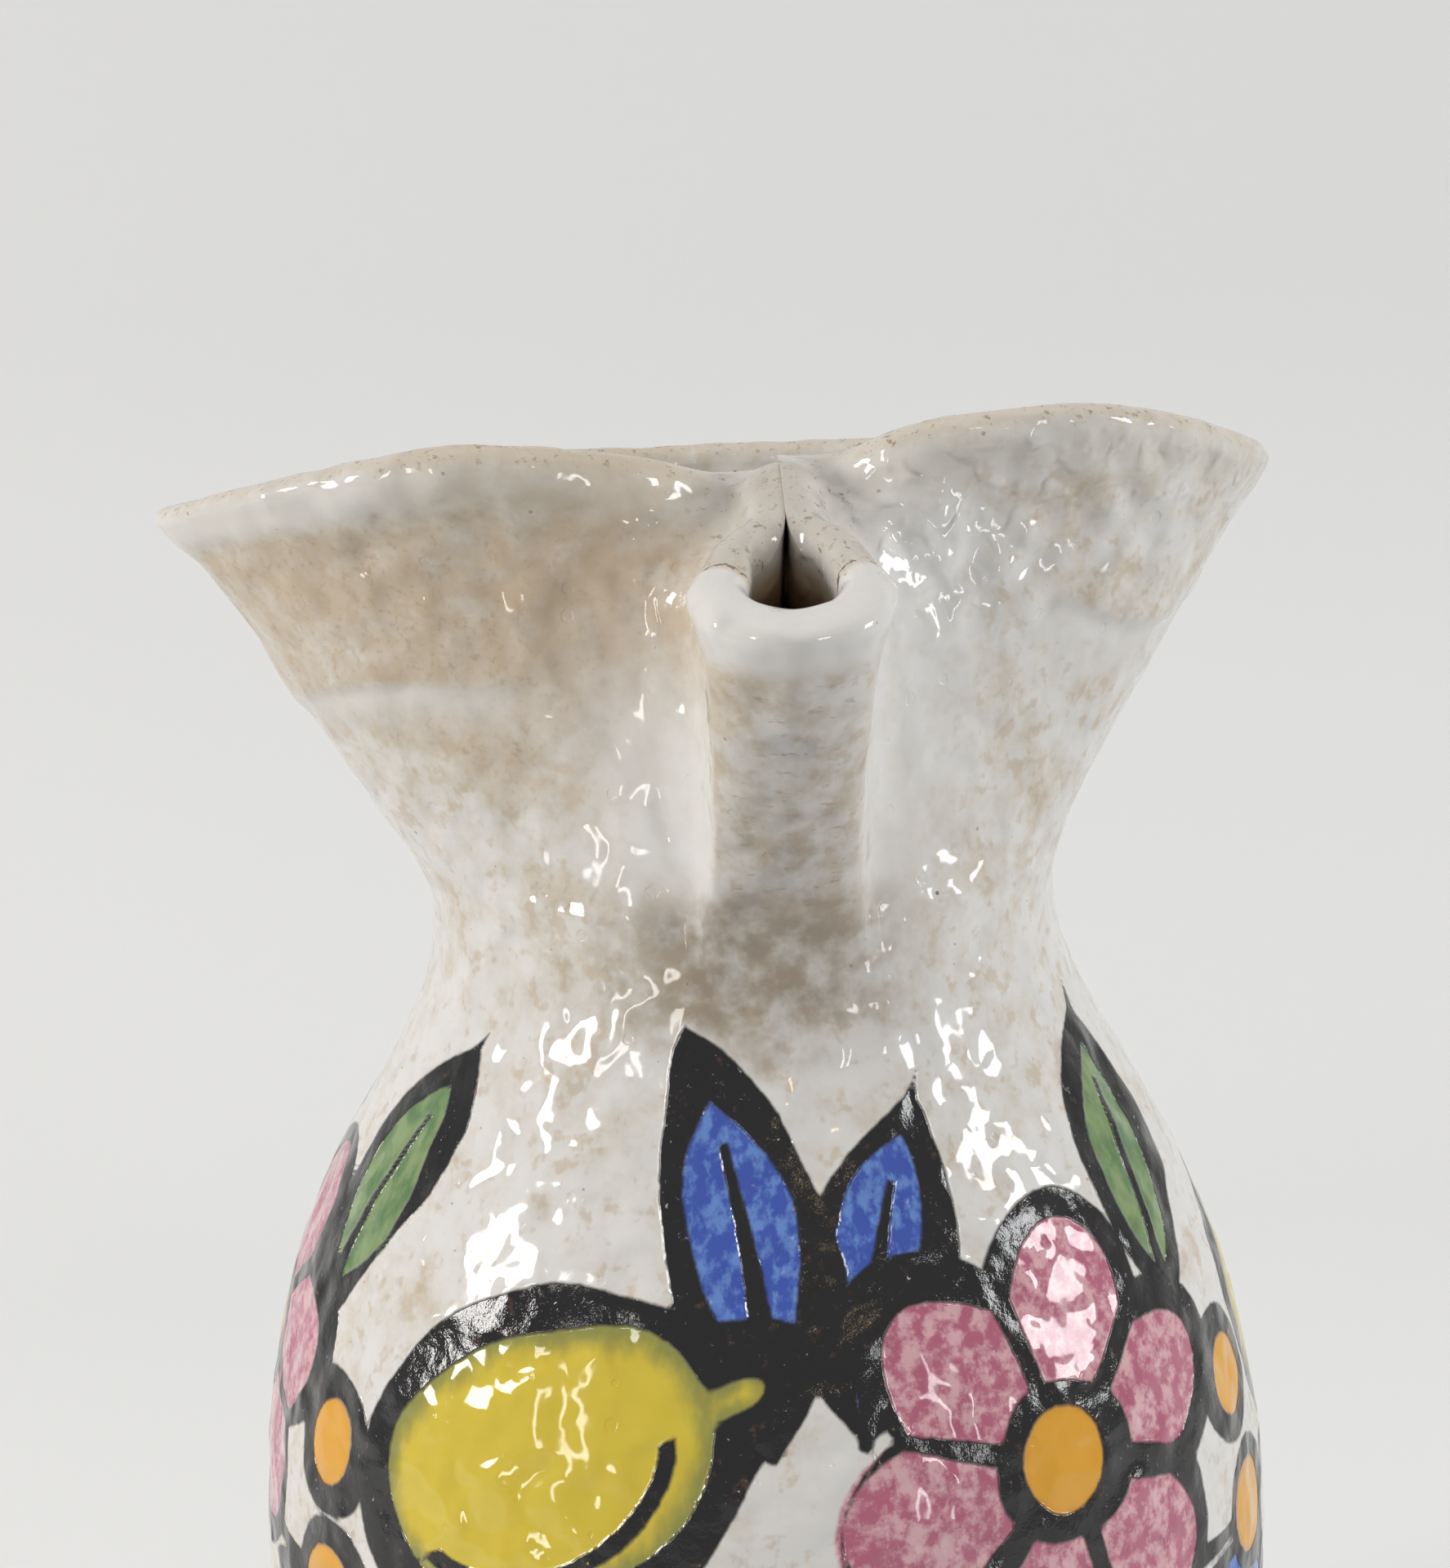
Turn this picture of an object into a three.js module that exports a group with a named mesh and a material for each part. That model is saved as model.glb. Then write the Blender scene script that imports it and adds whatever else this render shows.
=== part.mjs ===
// A hand-built glazed jug: a slab, two thrown body sections, a neck and a flared collar that is pinched at
// the front into a hollow grip. Millimetres, +Z up, standing on z = 0, the grip toward -Y.
import * as THREE from "three";

// Heights, each from the piece below it.
const slabThickness = 8;
const bellyHeight = 103;
const shoulderHeight = 98.5;
const rimHeight = 62.5;

// Radii of the body's outer face.
const footRadius = 46;
const bellyRadius = 74.5;
const waistRadius = 44.5;
const footChamfer = 1.5;

// Handles of the body's two curves: how long each end keeps its own direction.
const footHandle = 36;
const footFlare = 12;
const bellyHandleBelow = 62;
const bellyHandleAbove = 61;
const waistHandle = 26;

// Clay walls.
const bodyWall = 5.5;
const collarWall = 5.5;
const gripWall = 6.5;
const webWall = 4;

// Luted seams: half-laps with a film of slip between them.
const seamLap = 3;
const slipGap = 0.3;

// Mouth seen from above, with the height of each point over the rim's level line.
const leftWingReach = 79.5;
const leftWingRise = -4.5;
const rightWingReach = 77;
const rightWingRise = -3;
const wingSetForward = 3;
const backReach = 52;
const backRise = -2.5;
const backCornerOut = 49;
const backCornerReach = 38;
const backCornerRise = -2;
const lobeOut = 41;
const lobeReach = 40;
const leftLobeRise = 3.9;
const rightLobeRise = 6.5;
const flankOut = 17.5;
const flankReach = 37.5;
const leftFlankRise = 1.6;
const rightFlankRise = 4;
const leftCreaseRise = -1.2;
const rightCreaseRise = 0.6;

// Pinched grip: two walls pressed together behind an open tube.
const pinchReach = 31;
const pinchRise = 1;
const creaseFillet = 2.7;
const webSwell = 0.5;
const pressedGap = 0.6;
const gripBore = 10.4;
const gripReach = 72;
const gripDrop = 16;
const gripFootWidth = 20.2;
const foldStep = 0.6;
const gripTurn = 5;
const gripTurnReach = 62;
const gripFootRise = 6;

// Collar band and its rolled lip.
const collarBand = 26;
const lipBeadHeight = 5;
const lipBeadProud = 0.7;
const lipRound = 1.9;
const flareEase = 6.5;

// Facets.
const revolveSteps = 48;
const curveSteps = 8;
const tubeSteps = 3;
const webSteps = 2;
const wingSteps = 6;

const mix = (a, b, t) => a + (b - a) * t;
const clay = (color, roughness) => new THREE.MeshStandardMaterial({ color, roughness, metalness: 0 });

const waistHeight = bellyHeight + shoulderHeight;

// Body: one outer outline in two curves, walked by length. Depth 0 is the outer face and 1 the inner.
const bellyCurve = new THREE.CubicBezierCurve(
  new THREE.Vector2(footRadius, 0),
  new THREE.Vector2(footRadius + footFlare, footHandle),
  new THREE.Vector2(bellyRadius, bellyHeight - bellyHandleBelow),
  new THREE.Vector2(bellyRadius, bellyHeight),
);
const shoulderCurve = new THREE.CubicBezierCurve(
  new THREE.Vector2(bellyRadius, bellyHeight),
  new THREE.Vector2(bellyRadius, bellyHeight + bellyHandleAbove),
  new THREE.Vector2(waistRadius, waistHeight - waistHandle),
  new THREE.Vector2(waistRadius, waistHeight),
);
const bellyLength = bellyCurve.getLength();
const bodyLength = bellyLength + shoulderCurve.getLength();

function bodyPoint(length, depth) {
  const onBelly = length < bellyLength;
  const curve = onBelly ? bellyCurve : shoulderCurve;
  const start = onBelly ? 0 : bellyLength;
  const share = Math.min((length - start) / curve.getLength(), 1);
  const point = curve.getPointAt(share);
  const along = curve.getTangentAt(share);
  point.addScaledVector(along, Math.max(length - bodyLength, 0));
  return point.add(new THREE.Vector2(-along.y, along.x).multiplyScalar(depth * bodyWall));
}

function bodyRun(from, to, depth) {
  return Array.from({ length: curveSteps + 1 }, (_, i) => bodyPoint(mix(from, to, i / curveSteps), depth));
}

// The tongue of a seam is the inner half of the wall, and the section above it laps over its outer half.
const halfGap = slipGap / 2 / bodyWall;
const tongueFace = 0.5 + halfGap;
const lapFace = 0.5 - halfGap;

function revolve(profile) {
  const points = profile[0].x > 0 ? [...profile, profile[0]] : profile;
  return new THREE.LatheGeometry(points, revolveSteps).rotateX(Math.PI / 2);
}

function bodySection(from, to) {
  return revolve([
    ...bodyRun(from + slipGap, to, 0),
    bodyPoint(to, tongueFace),
    bodyPoint(to + seamLap, tongueFace),
    bodyPoint(to + seamLap, 1),
    ...bodyRun(from + seamLap + slipGap, to, 1).reverse(),
    bodyPoint(from + seamLap + slipGap, lapFace),
    bodyPoint(from + slipGap, lapFace),
  ]);
}

function slab() {
  const edge = slabThickness;
  const inner = bodyPoint(edge, 1);
  return revolve([
    new THREE.Vector2(0, 0),
    new THREE.Vector2(footRadius - footChamfer, 0),
    bodyPoint(footChamfer, 0),
    bodyPoint(edge, 0),
    bodyPoint(edge, tongueFace),
    bodyPoint(edge + seamLap, tongueFace),
    bodyPoint(edge + seamLap, 1),
    inner,
    new THREE.Vector2(0, inner.y),
  ]);
}

// Mouth: each control point has its place, its height over the level line, the angle from the front at
// which its wall leaves the waist, its wall, and how steeply its lip falls toward the front.
const tubeRadius = gripWall + gripBore / 2;
const tubeCentre = gripReach - tubeRadius;
const webHalf = webWall + pressedGap / 2;
const foldTilt = (pinchRise + gripDrop) / (gripReach - pinchReach);
const foldRise = (reach) => pinchRise - foldTilt * (reach - pinchReach);
const waistAngle = (out) => Math.asin(out / waistRadius);
const tubeAngles = [0, 42, 84, 128].map(THREE.MathUtils.degToRad);
const strapEdge = 2;

// The whole fold is turned a little to one side about a point inside the grip.
const foldTurn = THREE.MathUtils.degToRad(gripTurn);
function turned(x, reach) {
  const ahead = reach - gripTurnReach;
  const [sine, cosine] = [Math.sin(foldTurn), Math.cos(foldTurn)];
  return [x * cosine - ahead * sine, -(gripTurnReach + ahead * cosine + x * sine)];
}

function foldSide(side) {
  const points = tubeAngles.map((turn, i) => ({
    x: side * tubeRadius * Math.sin(turn),
    reach: tubeCentre + tubeRadius * Math.cos(turn),
    wall: i <= strapEdge ? gripWall : mix(gripWall, webWall, 0.4),
  }));
  const webFront = tubeCentre - 1.4 * tubeRadius;
  const webBack = pinchReach + creaseFillet;
  const swollen = side * (webHalf + webSwell);
  points.push({ x: swollen, reach: webFront, wall: webWall });
  points.push({ x: side * webHalf, reach: mix(webFront, webBack, 0.5), wall: webWall });
  points.push({ x: swollen, reach: webBack, wall: webWall });
  return points.map(({ x, reach, wall }, i) => {
    const spread = i < strapEdge ? Math.sin(tubeAngles[i]) : 1;
    const out = (gripFootWidth / 2) * spread + foldStep * Math.max(i - strapEdge, 0);
    return [...turned(x, reach), foldRise(reach), side * waistAngle(out), wall, foldTilt];
  });
}

function mouthPoint(out, reach, rise) {
  return [out, -reach, rise, Math.atan2(out, reach), collarWall, 0];
}

function mouthSide(side, wingReach, wingRise, lobeRise, flankRise, creaseRise) {
  const crease = [
    ...turned(side * (webHalf + creaseFillet), pinchReach - creaseFillet),
    creaseRise,
    side * waistAngle(gripFootWidth / 2 + foldStep * 5),
    collarWall,
    0,
  ];
  return [
    ...foldSide(side),
    crease,
    mouthPoint(side * flankOut, flankReach, flankRise),
    mouthPoint(side * lobeOut, lobeReach, lobeRise),
    mouthPoint(side * wingReach, wingSetForward, wingRise),
    mouthPoint(side * backCornerOut, -backCornerReach, backCornerRise),
  ];
}

const rightSide = mouthSide(
  1, rightWingReach, rightWingRise, rightLobeRise, rightFlankRise, rightCreaseRise,
);
const leftSide = mouthSide(
  -1, leftWingReach, leftWingRise, leftLobeRise, leftFlankRise, leftCreaseRise,
);
const fullTurn = 2 * Math.PI;
const mouth = [
  ...rightSide,
  mouthPoint(0, -backReach, backRise),
  ...leftSide.slice(1).reverse().map((point) => point.with(3, point[3] + fullTurn)),
];

// A smooth closed curve through the control points, with every value carried along.
function mouthAt(station) {
  const count = mouth.length;
  const first = Math.floor(station);
  const t = station - first;
  const [p0, p1, p2, p3] = [-1, 0, 1, 2].map((step) => {
    const index = first + step;
    const turns = Math.floor(index / count);
    const point = mouth[index - turns * count];
    return point.with(3, point[3] + turns * fullTurn);
  });
  const span = (a, b) => Math.sqrt(Math.hypot(b[0] - a[0], b[1] - a[1], b[2] - a[2]));
  const [d0, d1, d2] = [span(p0, p1), span(p1, p2), span(p2, p3)];
  return p1.map((value, i) => {
    const [a, b, c, d] = [p0[i], value, p2[i], p3[i]];
    const leave = ((b - a) / d0 - (c - a) / (d0 + d1) + (c - b) / d1) * d1;
    const arrive = ((c - b) / d1 - (d - b) / (d1 + d2) + (d - c) / d2) * d1;
    const cubic = 2 * b - 2 * c + leave + arrive;
    return b + t * (leave + t * (3 * (c - b) - 2 * leave - arrive + t * cubic));
  });
}

// The flare starts upright at the waist and straightens as it rises.
function flare(height) {
  const ease = flareEase / rimHeight;
  const root = (t) => Math.hypot(t, ease) - ease;
  return root(height) / root(1);
}

// A point of the flared wall: station round the mouth, share of the height, and depth into the wall.
function wallPoint(station, height, depth) {
  const [x, y, rise, angle, wall, tilt] = mouthAt(station);
  const step = 0.02;
  const before = mouthAt(station - step);
  const after = mouthAt(station + step);
  const inward = new THREE.Vector2(before[1] - after[1], after[0] - before[0]).normalize();
  const below = Math.max(1 - height, 0) * rimHeight;
  const bead = below < lipBeadHeight ? lipBeadProud * Math.sin((Math.PI * below) / lipBeadHeight) : 0;
  const round = height < 1 ? 0 : lipRound * (1 - Math.sqrt(1 - (2 * depth - 1) ** 2));
  const into = depth * wall - bead * (1 - depth);
  const waist = waistRadius - depth * bodyWall;
  const spread = flare(height);
  const lift = rise + tilt * inward.y * depth * wall;
  return new THREE.Vector3(
    mix(waist * Math.sin(angle), x + inward.x * into, spread),
    mix(-waist * Math.cos(angle), y + inward.y * into, spread),
    waistHeight + height * rimHeight + spread * lift - round,
  );
}

// Grid of the flared wall: its lines follow every seam, so each piece is a set of the grid's cells.
const stationGap = slipGap / (tubeRadius * (tubeAngles[2] - tubeAngles[1]));
const stationLap = stationGap * (seamLap / slipGap);
const share = (length) => length / rimHeight;
const collarSeam = 1 - share(collarBand);
const gripFoot = share(gripFootRise);

const byOrder = (a, b) => a - b;
const unique = (values) => values.sort(byOrder).filter((v, i) => i === 0 || v - values[i - 1] > 1e-6);

function stationLines() {
  const lines = [];
  const half = rightSide.length;
  const firstWing = foldSide(1).length + 1;
  for (let i = 0; i < half; i++) {
    const foldSteps = i < tubeAngles.length - 1 ? tubeSteps : webSteps;
    const steps = i < firstWing ? foldSteps : wingSteps;
    for (let j = 0; j < steps; j++) lines.push(i + j / steps);
  }
  const near = (v) => Math.abs(v - strapEdge) < stationLap;
  const clear = lines.filter((v) => !near(v));
  for (const edge of [strapEdge - stationLap / 2, strapEdge + stationLap / 2]) clear.push(edge, edge + stationGap);
  const mirrored = clear.filter((v) => v > 0).map((v) => mouth.length - v);
  return unique([...clear, half, ...mirrored, mouth.length]);
}

function heightLines() {
  const lines = [0, 1];
  for (const seam of [0, share(seamLap), gripFoot, collarSeam, collarSeam + share(seamLap)]) {
    lines.push(seam, seam + share(slipGap));
  }
  const bead = share(lipBeadHeight);
  lines.push(1 - bead, 1 - bead * 0.65, 1 - bead * 0.35);
  for (let i = 1; i < curveSteps; i++) {
    const v = i / curveSteps;
    if (lines.every((line) => Math.abs(line - v) > share(seamLap))) lines.push(v);
  }
  return unique(lines);
}

const depthGap = slipGap / 2 / Math.min(bodyWall, collarWall, gripWall);
const depthLines = [0, 0.2, 0.5 - depthGap, 0.5 + depthGap, 0.8, 1];

// Which piece owns a place in the wall. The outer half laps over the tongue of the inner half.
function ownerOfHalf(fromFront, height, isOuter) {
  const lapped = isOuter ? 0 : share(seamLap);
  const film = share(slipGap);
  const edge = strapEdge + (isOuter ? stationLap : -stationLap) / 2;
  if (fromFront < edge && height > gripFoot + film) return "grip_strap";
  if (fromFront < edge + stationGap && height > gripFoot) return null;
  if (height < lapped + film) return null;
  if (height < collarSeam + lapped) return "neck";
  return height > collarSeam + lapped + film ? "collar" : null;
}

function ownerOf(station, height, depth) {
  const fromFront = Math.min(station, mouth.length - station);
  const outer = ownerOfHalf(fromFront, height, true);
  const inner = ownerOfHalf(fromFront, height, false);
  if (Math.abs(depth - 0.5) < depthGap) return outer === inner ? outer : null;
  return depth < 0.5 ? outer : inner;
}

const lines = [stationLines(), heightLines(), depthLines];
const cells = lines.map((values) => values.length - 1);
const middle = (axis, i) => (lines[axis][i] + lines[axis][i + 1]) / 2;
const owners = Array.from({ length: cells[0] }, (_, i) =>
  Array.from({ length: cells[1] }, (_, j) =>
    Array.from({ length: cells[2] }, (_, k) => ownerOf(middle(0, i), middle(1, j), middle(2, k)))));

function cellOwner(i, j, k) {
  const column = owners[(i + cells[0]) % cells[0]];
  return column[j]?.[k];
}

// The six faces of a cell: the way to its neighbour and its corners, wound to face that neighbour.
const cellFaces = [
  { step: [0, 0, -1], corners: [[0, 0, 0], [1, 0, 0], [1, 1, 0], [0, 1, 0]] },
  { step: [0, 0, 1], corners: [[0, 0, 1], [0, 1, 1], [1, 1, 1], [1, 0, 1]] },
  { step: [1, 0, 0], corners: [[1, 0, 0], [1, 0, 1], [1, 1, 1], [1, 1, 0]] },
  { step: [-1, 0, 0], corners: [[0, 0, 0], [0, 1, 0], [0, 1, 1], [0, 0, 1]] },
  { step: [0, 1, 0], corners: [[0, 1, 0], [1, 1, 0], [1, 1, 1], [0, 1, 1]] },
  { step: [0, -1, 0], corners: [[0, 0, 0], [0, 0, 1], [1, 0, 1], [1, 0, 0]] },
];

function wallPiece(name) {
  const positions = [];
  const index = [];
  const known = new Map();
  const vertex = (i, j, k) => {
    const column = i % cells[0];
    const key = `${column},${j},${k}`;
    if (!known.has(key)) {
      known.set(key, known.size);
      positions.push(...wallPoint(lines[0][column], lines[1][j], lines[2][k]));
    }
    return known.get(key);
  };
  for (let i = 0; i < cells[0]; i++) {
    for (let j = 0; j < cells[1]; j++) {
      for (let k = 0; k < cells[2]; k++) {
        if (cellOwner(i, j, k) !== name) continue;
        for (const { step, corners } of cellFaces) {
          if (cellOwner(i + step[0], j + step[1], k + step[2]) === name) continue;
          const [a, b, c, d] = corners.map(([di, dj, dk]) => vertex(i + di, j + dj, k + dk));
          index.push(a, b, c, a, c, d);
        }
      }
    }
  }
  const geometry = new THREE.BufferGeometry();
  geometry.setAttribute("position", new THREE.Float32BufferAttribute(positions, 3));
  geometry.setIndex(index);
  geometry.computeVertexNormals();
  return geometry;
}

function addPiece(group, name, geometry, material) {
  const mesh = new THREE.Mesh(geometry, material);
  mesh.name = name;
  group.add(mesh);
}

const jug = new THREE.Group();
addPiece(jug, "base_slab", slab(), clay(0xb9a58c, 0.8));
addPiece(jug, "belly_wall", bodySection(slabThickness, bellyLength), clay(0xdcd7cd, 0.2));
addPiece(jug, "shoulder_wall", bodySection(bellyLength, bodyLength), clay(0xe1dcd6, 0.2));
addPiece(jug, "neck", wallPiece("neck"), clay(0xd3cbc0, 0.22));
addPiece(jug, "collar", wallPiece("collar"), clay(0xc9beb0, 0.25));
addPiece(jug, "grip_strap", wallPiece("grip_strap"), clay(0xc4bfb5, 0.25));

export default jug;
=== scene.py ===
"""Glazed hand-made jug with a pinched mouth and a hollow grip: surfaces, paint, light and camera."""
import math

import bpy
import numpy as np
from mathutils import Matrix, Vector


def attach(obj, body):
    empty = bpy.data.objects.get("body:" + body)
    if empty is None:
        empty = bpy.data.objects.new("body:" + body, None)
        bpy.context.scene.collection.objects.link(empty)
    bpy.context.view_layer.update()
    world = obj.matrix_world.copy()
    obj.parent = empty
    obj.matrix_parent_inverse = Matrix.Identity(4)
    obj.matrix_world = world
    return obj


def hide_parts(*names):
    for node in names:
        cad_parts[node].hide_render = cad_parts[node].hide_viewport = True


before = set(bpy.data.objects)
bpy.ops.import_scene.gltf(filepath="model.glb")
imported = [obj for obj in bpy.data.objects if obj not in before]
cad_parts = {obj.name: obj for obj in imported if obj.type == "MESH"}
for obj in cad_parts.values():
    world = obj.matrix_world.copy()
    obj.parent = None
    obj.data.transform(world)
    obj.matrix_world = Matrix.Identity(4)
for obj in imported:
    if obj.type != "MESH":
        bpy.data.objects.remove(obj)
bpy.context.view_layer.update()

BODY = "jug"
MM = 0.001

# Sizes in millimetres, by the names that the solids use.
SLAB_THICKNESS = 8.0
BELLY_HEIGHT = 103.0
SHOULDER_HEIGHT = 98.5
RIM_HEIGHT = 62.5
FOOT_RADIUS = 46.0
BELLY_RADIUS = 74.5
WAIST_RADIUS = 44.5
FOOT_CHAMFER = 1.5
FOOT_HANDLE = 36.0
FOOT_FLARE = 12.0
BELLY_HANDLE_BELOW = 62.0
BELLY_HANDLE_ABOVE = 61.0
WAIST_HANDLE = 26.0
BODY_WALL = 5.5
COLLAR_WALL = 5.5
GRIP_WALL = 6.5
WEB_WALL = 4.0
LEFT_WING = (79.5, -4.5)
RIGHT_WING = (77.0, -3.0)
WING_SET_FORWARD = 3.0
BACK_REACH = 52.0
BACK_RISE = -2.5
BACK_CORNER = (49.0, 38.0, -2.0)
LOBE_OUT = 41.0
LOBE_REACH = 40.0
LEFT_LOBE_RISE = 3.9
RIGHT_LOBE_RISE = 6.5
FLANK_OUT = 17.5
FLANK_REACH = 37.5
LEFT_FLANK_RISE = 1.6
RIGHT_FLANK_RISE = 4.0
LEFT_CREASE_RISE = -1.2
RIGHT_CREASE_RISE = 0.6
PINCH_REACH = 31.0
PINCH_RISE = 1.0
CREASE_FILLET = 2.7
WEB_SWELL = 0.5
PRESSED_GAP = 0.6
GRIP_BORE = 10.4
GRIP_REACH = 72.0
GRIP_DROP = 16.0
GRIP_FOOT_WIDTH = 20.2
FOLD_STEP = 0.6
GRIP_TURN = math.radians(5.0)
GRIP_TURN_REACH = 62.0
GRIP_FOOT_RISE = 6.0
COLLAR_BAND = 26.0
FLARE_EASE = 6.5
WAIST_HEIGHT = BELLY_HEIGHT + SHOULDER_HEIGHT

# The rolled lip: on the collar, and fuller on the grip.
COLLAR_BEAD = (0.6, 2.4)
WING_BEAD = (1.0, 3.4)
GRIP_BEAD = (0.95, 3.5)
WING_BAND = (0.75, 6.0, 8.8)
COLLAR_LIP_ROUND = 3.2
GRIP_LIP_ROUND = 3.5
WEB_ROUND = 4.2
FUNNEL_ROUND = 2.6
GROOVE_DEPTH = 0.12
BRIDGE_DEPTH = 15.0
CREASE_SOFTENING = 6.0
HOLLOW_WIDTH = 20.0

# Mesh steps.
COLUMNS = 640
FOLD_DENSITY = 1.9
FOOT_ROWS = 7
BELLY_ROWS = 124
SHOULDER_ROWS = 126
GRIP_FOOT_ROWS = 8
NECK_ROWS = 37
COLLAR_ROWS = 28
CAP_ROWS = 13
INNER_COLLAR_ROWS = 27
INNER_ROWS = 22
FLOOR_TURN_ROWS = 8


def smooth(low, high, value):
    t = np.clip((value - low) / (high - low), 0.0, 1.0)
    return t * t * (3.0 - 2.0 * t)


def mix(a, b, t):
    return a + (b - a) * t


def steps(start, end, count):
    """Even steps to an end, without the start that the rows before it have."""
    return np.linspace(start, end, count)[1:]


def window(value, low, rise, fall, high):
    """1 between rise and fall, 0 below low and above high."""
    return smooth(low, rise, value) * (1.0 - smooth(fall, high, value))


def waves(points, length, seed, count=26, stretch=(1.0, 1.0, 1.0)):
    """A smooth field of seeded waves, the same wherever it is asked for."""
    rng = np.random.default_rng(seed)
    total = np.zeros(points.shape[:-1])
    scaled = points * np.array(stretch)
    for _ in range(count):
        way = rng.normal(size=3)
        way /= np.linalg.norm(way)
        rate = 2.0 * math.pi / (length * rng.uniform(0.75, 1.45))
        total += np.cos(scaled @ (way * rate) + rng.uniform(0.0, 2.0 * math.pi))
    return total / math.sqrt(count / 2.0)


# Body outline: two curves, walked by length.
def bezier(p0, p1, p2, p3, count=400):
    t = np.linspace(0.0, 1.0, count)[:, None]
    a, b, c, d = (np.array(p) for p in (p0, p1, p2, p3))
    return (1 - t) ** 3 * a + 3 * (1 - t) ** 2 * t * b + 3 * (1 - t) * t * t * c + t ** 3 * d


belly_curve = bezier(
    (FOOT_RADIUS, 0.0),
    (FOOT_RADIUS + FOOT_FLARE, FOOT_HANDLE),
    (BELLY_RADIUS, BELLY_HEIGHT - BELLY_HANDLE_BELOW),
    (BELLY_RADIUS, BELLY_HEIGHT),
)
shoulder_curve = bezier(
    (BELLY_RADIUS, BELLY_HEIGHT),
    (BELLY_RADIUS, BELLY_HEIGHT + BELLY_HANDLE_ABOVE),
    (WAIST_RADIUS, WAIST_HEIGHT - WAIST_HANDLE),
    (WAIST_RADIUS, WAIST_HEIGHT),
)
outline = np.vstack([belly_curve, shoulder_curve[1:]])
outline_length = np.r_[0.0, np.cumsum(np.linalg.norm(np.diff(outline, axis=0), axis=1))]
belly_length = outline_length[len(belly_curve) - 1]
body_length = outline_length[-1]


def body_at(length, depth=0.0):
    """Radius and height on the body's wall at a length along its outline."""
    length = np.asarray(length, float)
    step = 0.05
    place = [np.interp(length, outline_length, outline[:, i]) for i in (0, 1)]
    ahead = [np.interp(length + step, outline_length, outline[:, i]) for i in (0, 1)]
    back = [np.interp(length - step, outline_length, outline[:, i]) for i in (0, 1)]
    along = np.array([ahead[0] - back[0], ahead[1] - back[1]])
    along /= np.maximum(np.hypot(*along), 1e-9)
    return place[0] - along[1] * depth * BODY_WALL, place[1] + along[0] * depth * BODY_WALL


# Mouth: control points round the rim, the same as the solids have.
TUBE_RADIUS = GRIP_WALL + GRIP_BORE / 2.0
TUBE_CENTRE = GRIP_REACH - TUBE_RADIUS
WEB_HALF = WEB_WALL + PRESSED_GAP / 2.0
FOLD_TILT = (PINCH_RISE + GRIP_DROP) / (GRIP_REACH - PINCH_REACH)
TURN_SINE = math.sin(GRIP_TURN)
TURN_COSINE = math.cos(GRIP_TURN)
TUBE_TURNS = (0.0, 42.0, 84.0, 128.0)
TUBE_END_EASE = 0.4
WEB_FRONT = TUBE_CENTRE - 1.4 * TUBE_RADIUS
WEB_BACK = PINCH_REACH + CREASE_FILLET
FULL_TURN = 2.0 * math.pi

# Two of the control points by number from the front: the strap's edge, and the crease behind the web. The
# next ones are the flank, 8, the lobe, 9, the wing, 10, and the back corner, 11.
STRAP_EDGE = 2
CREASE = 7


def turned(x, reach):
    ahead = reach - GRIP_TURN_REACH
    return [
        x * TURN_COSINE - ahead * TURN_SINE,
        -(GRIP_TURN_REACH + ahead * TURN_COSINE + x * TURN_SINE),
    ]


def fold_rise(reach):
    return PINCH_RISE - FOLD_TILT * (reach - PINCH_REACH)


def waist_angle(out):
    return math.asin(out / WAIST_RADIUS)


def mouth_point(out, reach, rise):
    return [out, -reach, rise, math.atan2(out, reach), COLLAR_WALL, 0.0]


def mouth_side(side, wing, lobe_rise, flank_rise, crease_rise):
    spots = []
    for i, degrees in enumerate(TUBE_TURNS):
        angle = math.radians(degrees)
        wall = GRIP_WALL if i <= STRAP_EDGE else mix(GRIP_WALL, WEB_WALL, TUBE_END_EASE)
        spread = math.sin(angle) if i < STRAP_EDGE else 1.0
        reach = TUBE_CENTRE + TUBE_RADIUS * math.cos(angle)
        spots.append((TUBE_RADIUS * math.sin(angle), reach, wall, spread))
    spots.append((WEB_HALF + WEB_SWELL, WEB_FRONT, WEB_WALL, 1.0))
    spots.append((WEB_HALF, (WEB_FRONT + WEB_BACK) / 2.0, WEB_WALL, 1.0))
    spots.append((WEB_HALF + WEB_SWELL, WEB_BACK, WEB_WALL, 1.0))
    points = []
    for i, (x, reach, wall, spread) in enumerate(spots):
        out = GRIP_FOOT_WIDTH / 2.0 * spread + FOLD_STEP * max(i - STRAP_EDGE, 0)
        angle = side * waist_angle(out)
        points.append([*turned(side * x, reach), fold_rise(reach), angle, wall, FOLD_TILT])
    crease = turned(side * (WEB_HALF + CREASE_FILLET), PINCH_REACH - CREASE_FILLET)
    crease_angle = side * waist_angle(GRIP_FOOT_WIDTH / 2.0 + FOLD_STEP * (CREASE - STRAP_EDGE))
    points.append([*crease, crease_rise, crease_angle, COLLAR_WALL, 0.0])
    points.append(mouth_point(side * FLANK_OUT, FLANK_REACH, flank_rise))
    points.append(mouth_point(side * LOBE_OUT, LOBE_REACH, lobe_rise))
    points.append(mouth_point(side * wing[0], WING_SET_FORWARD, wing[1]))
    points.append(mouth_point(side * BACK_CORNER[0], -BACK_CORNER[1], BACK_CORNER[2]))
    return points


right_side = mouth_side(1, RIGHT_WING, RIGHT_LOBE_RISE, RIGHT_FLANK_RISE, RIGHT_CREASE_RISE)
left_side = mouth_side(-1, LEFT_WING, LEFT_LOBE_RISE, LEFT_FLANK_RISE, LEFT_CREASE_RISE)
back_again = [row[:3] + [row[3] + FULL_TURN] + row[4:] for row in left_side[:0:-1]]
mouth = np.array(right_side + [mouth_point(0.0, -BACK_REACH, BACK_RISE)] + back_again)
STATIONS = len(mouth)


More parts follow.
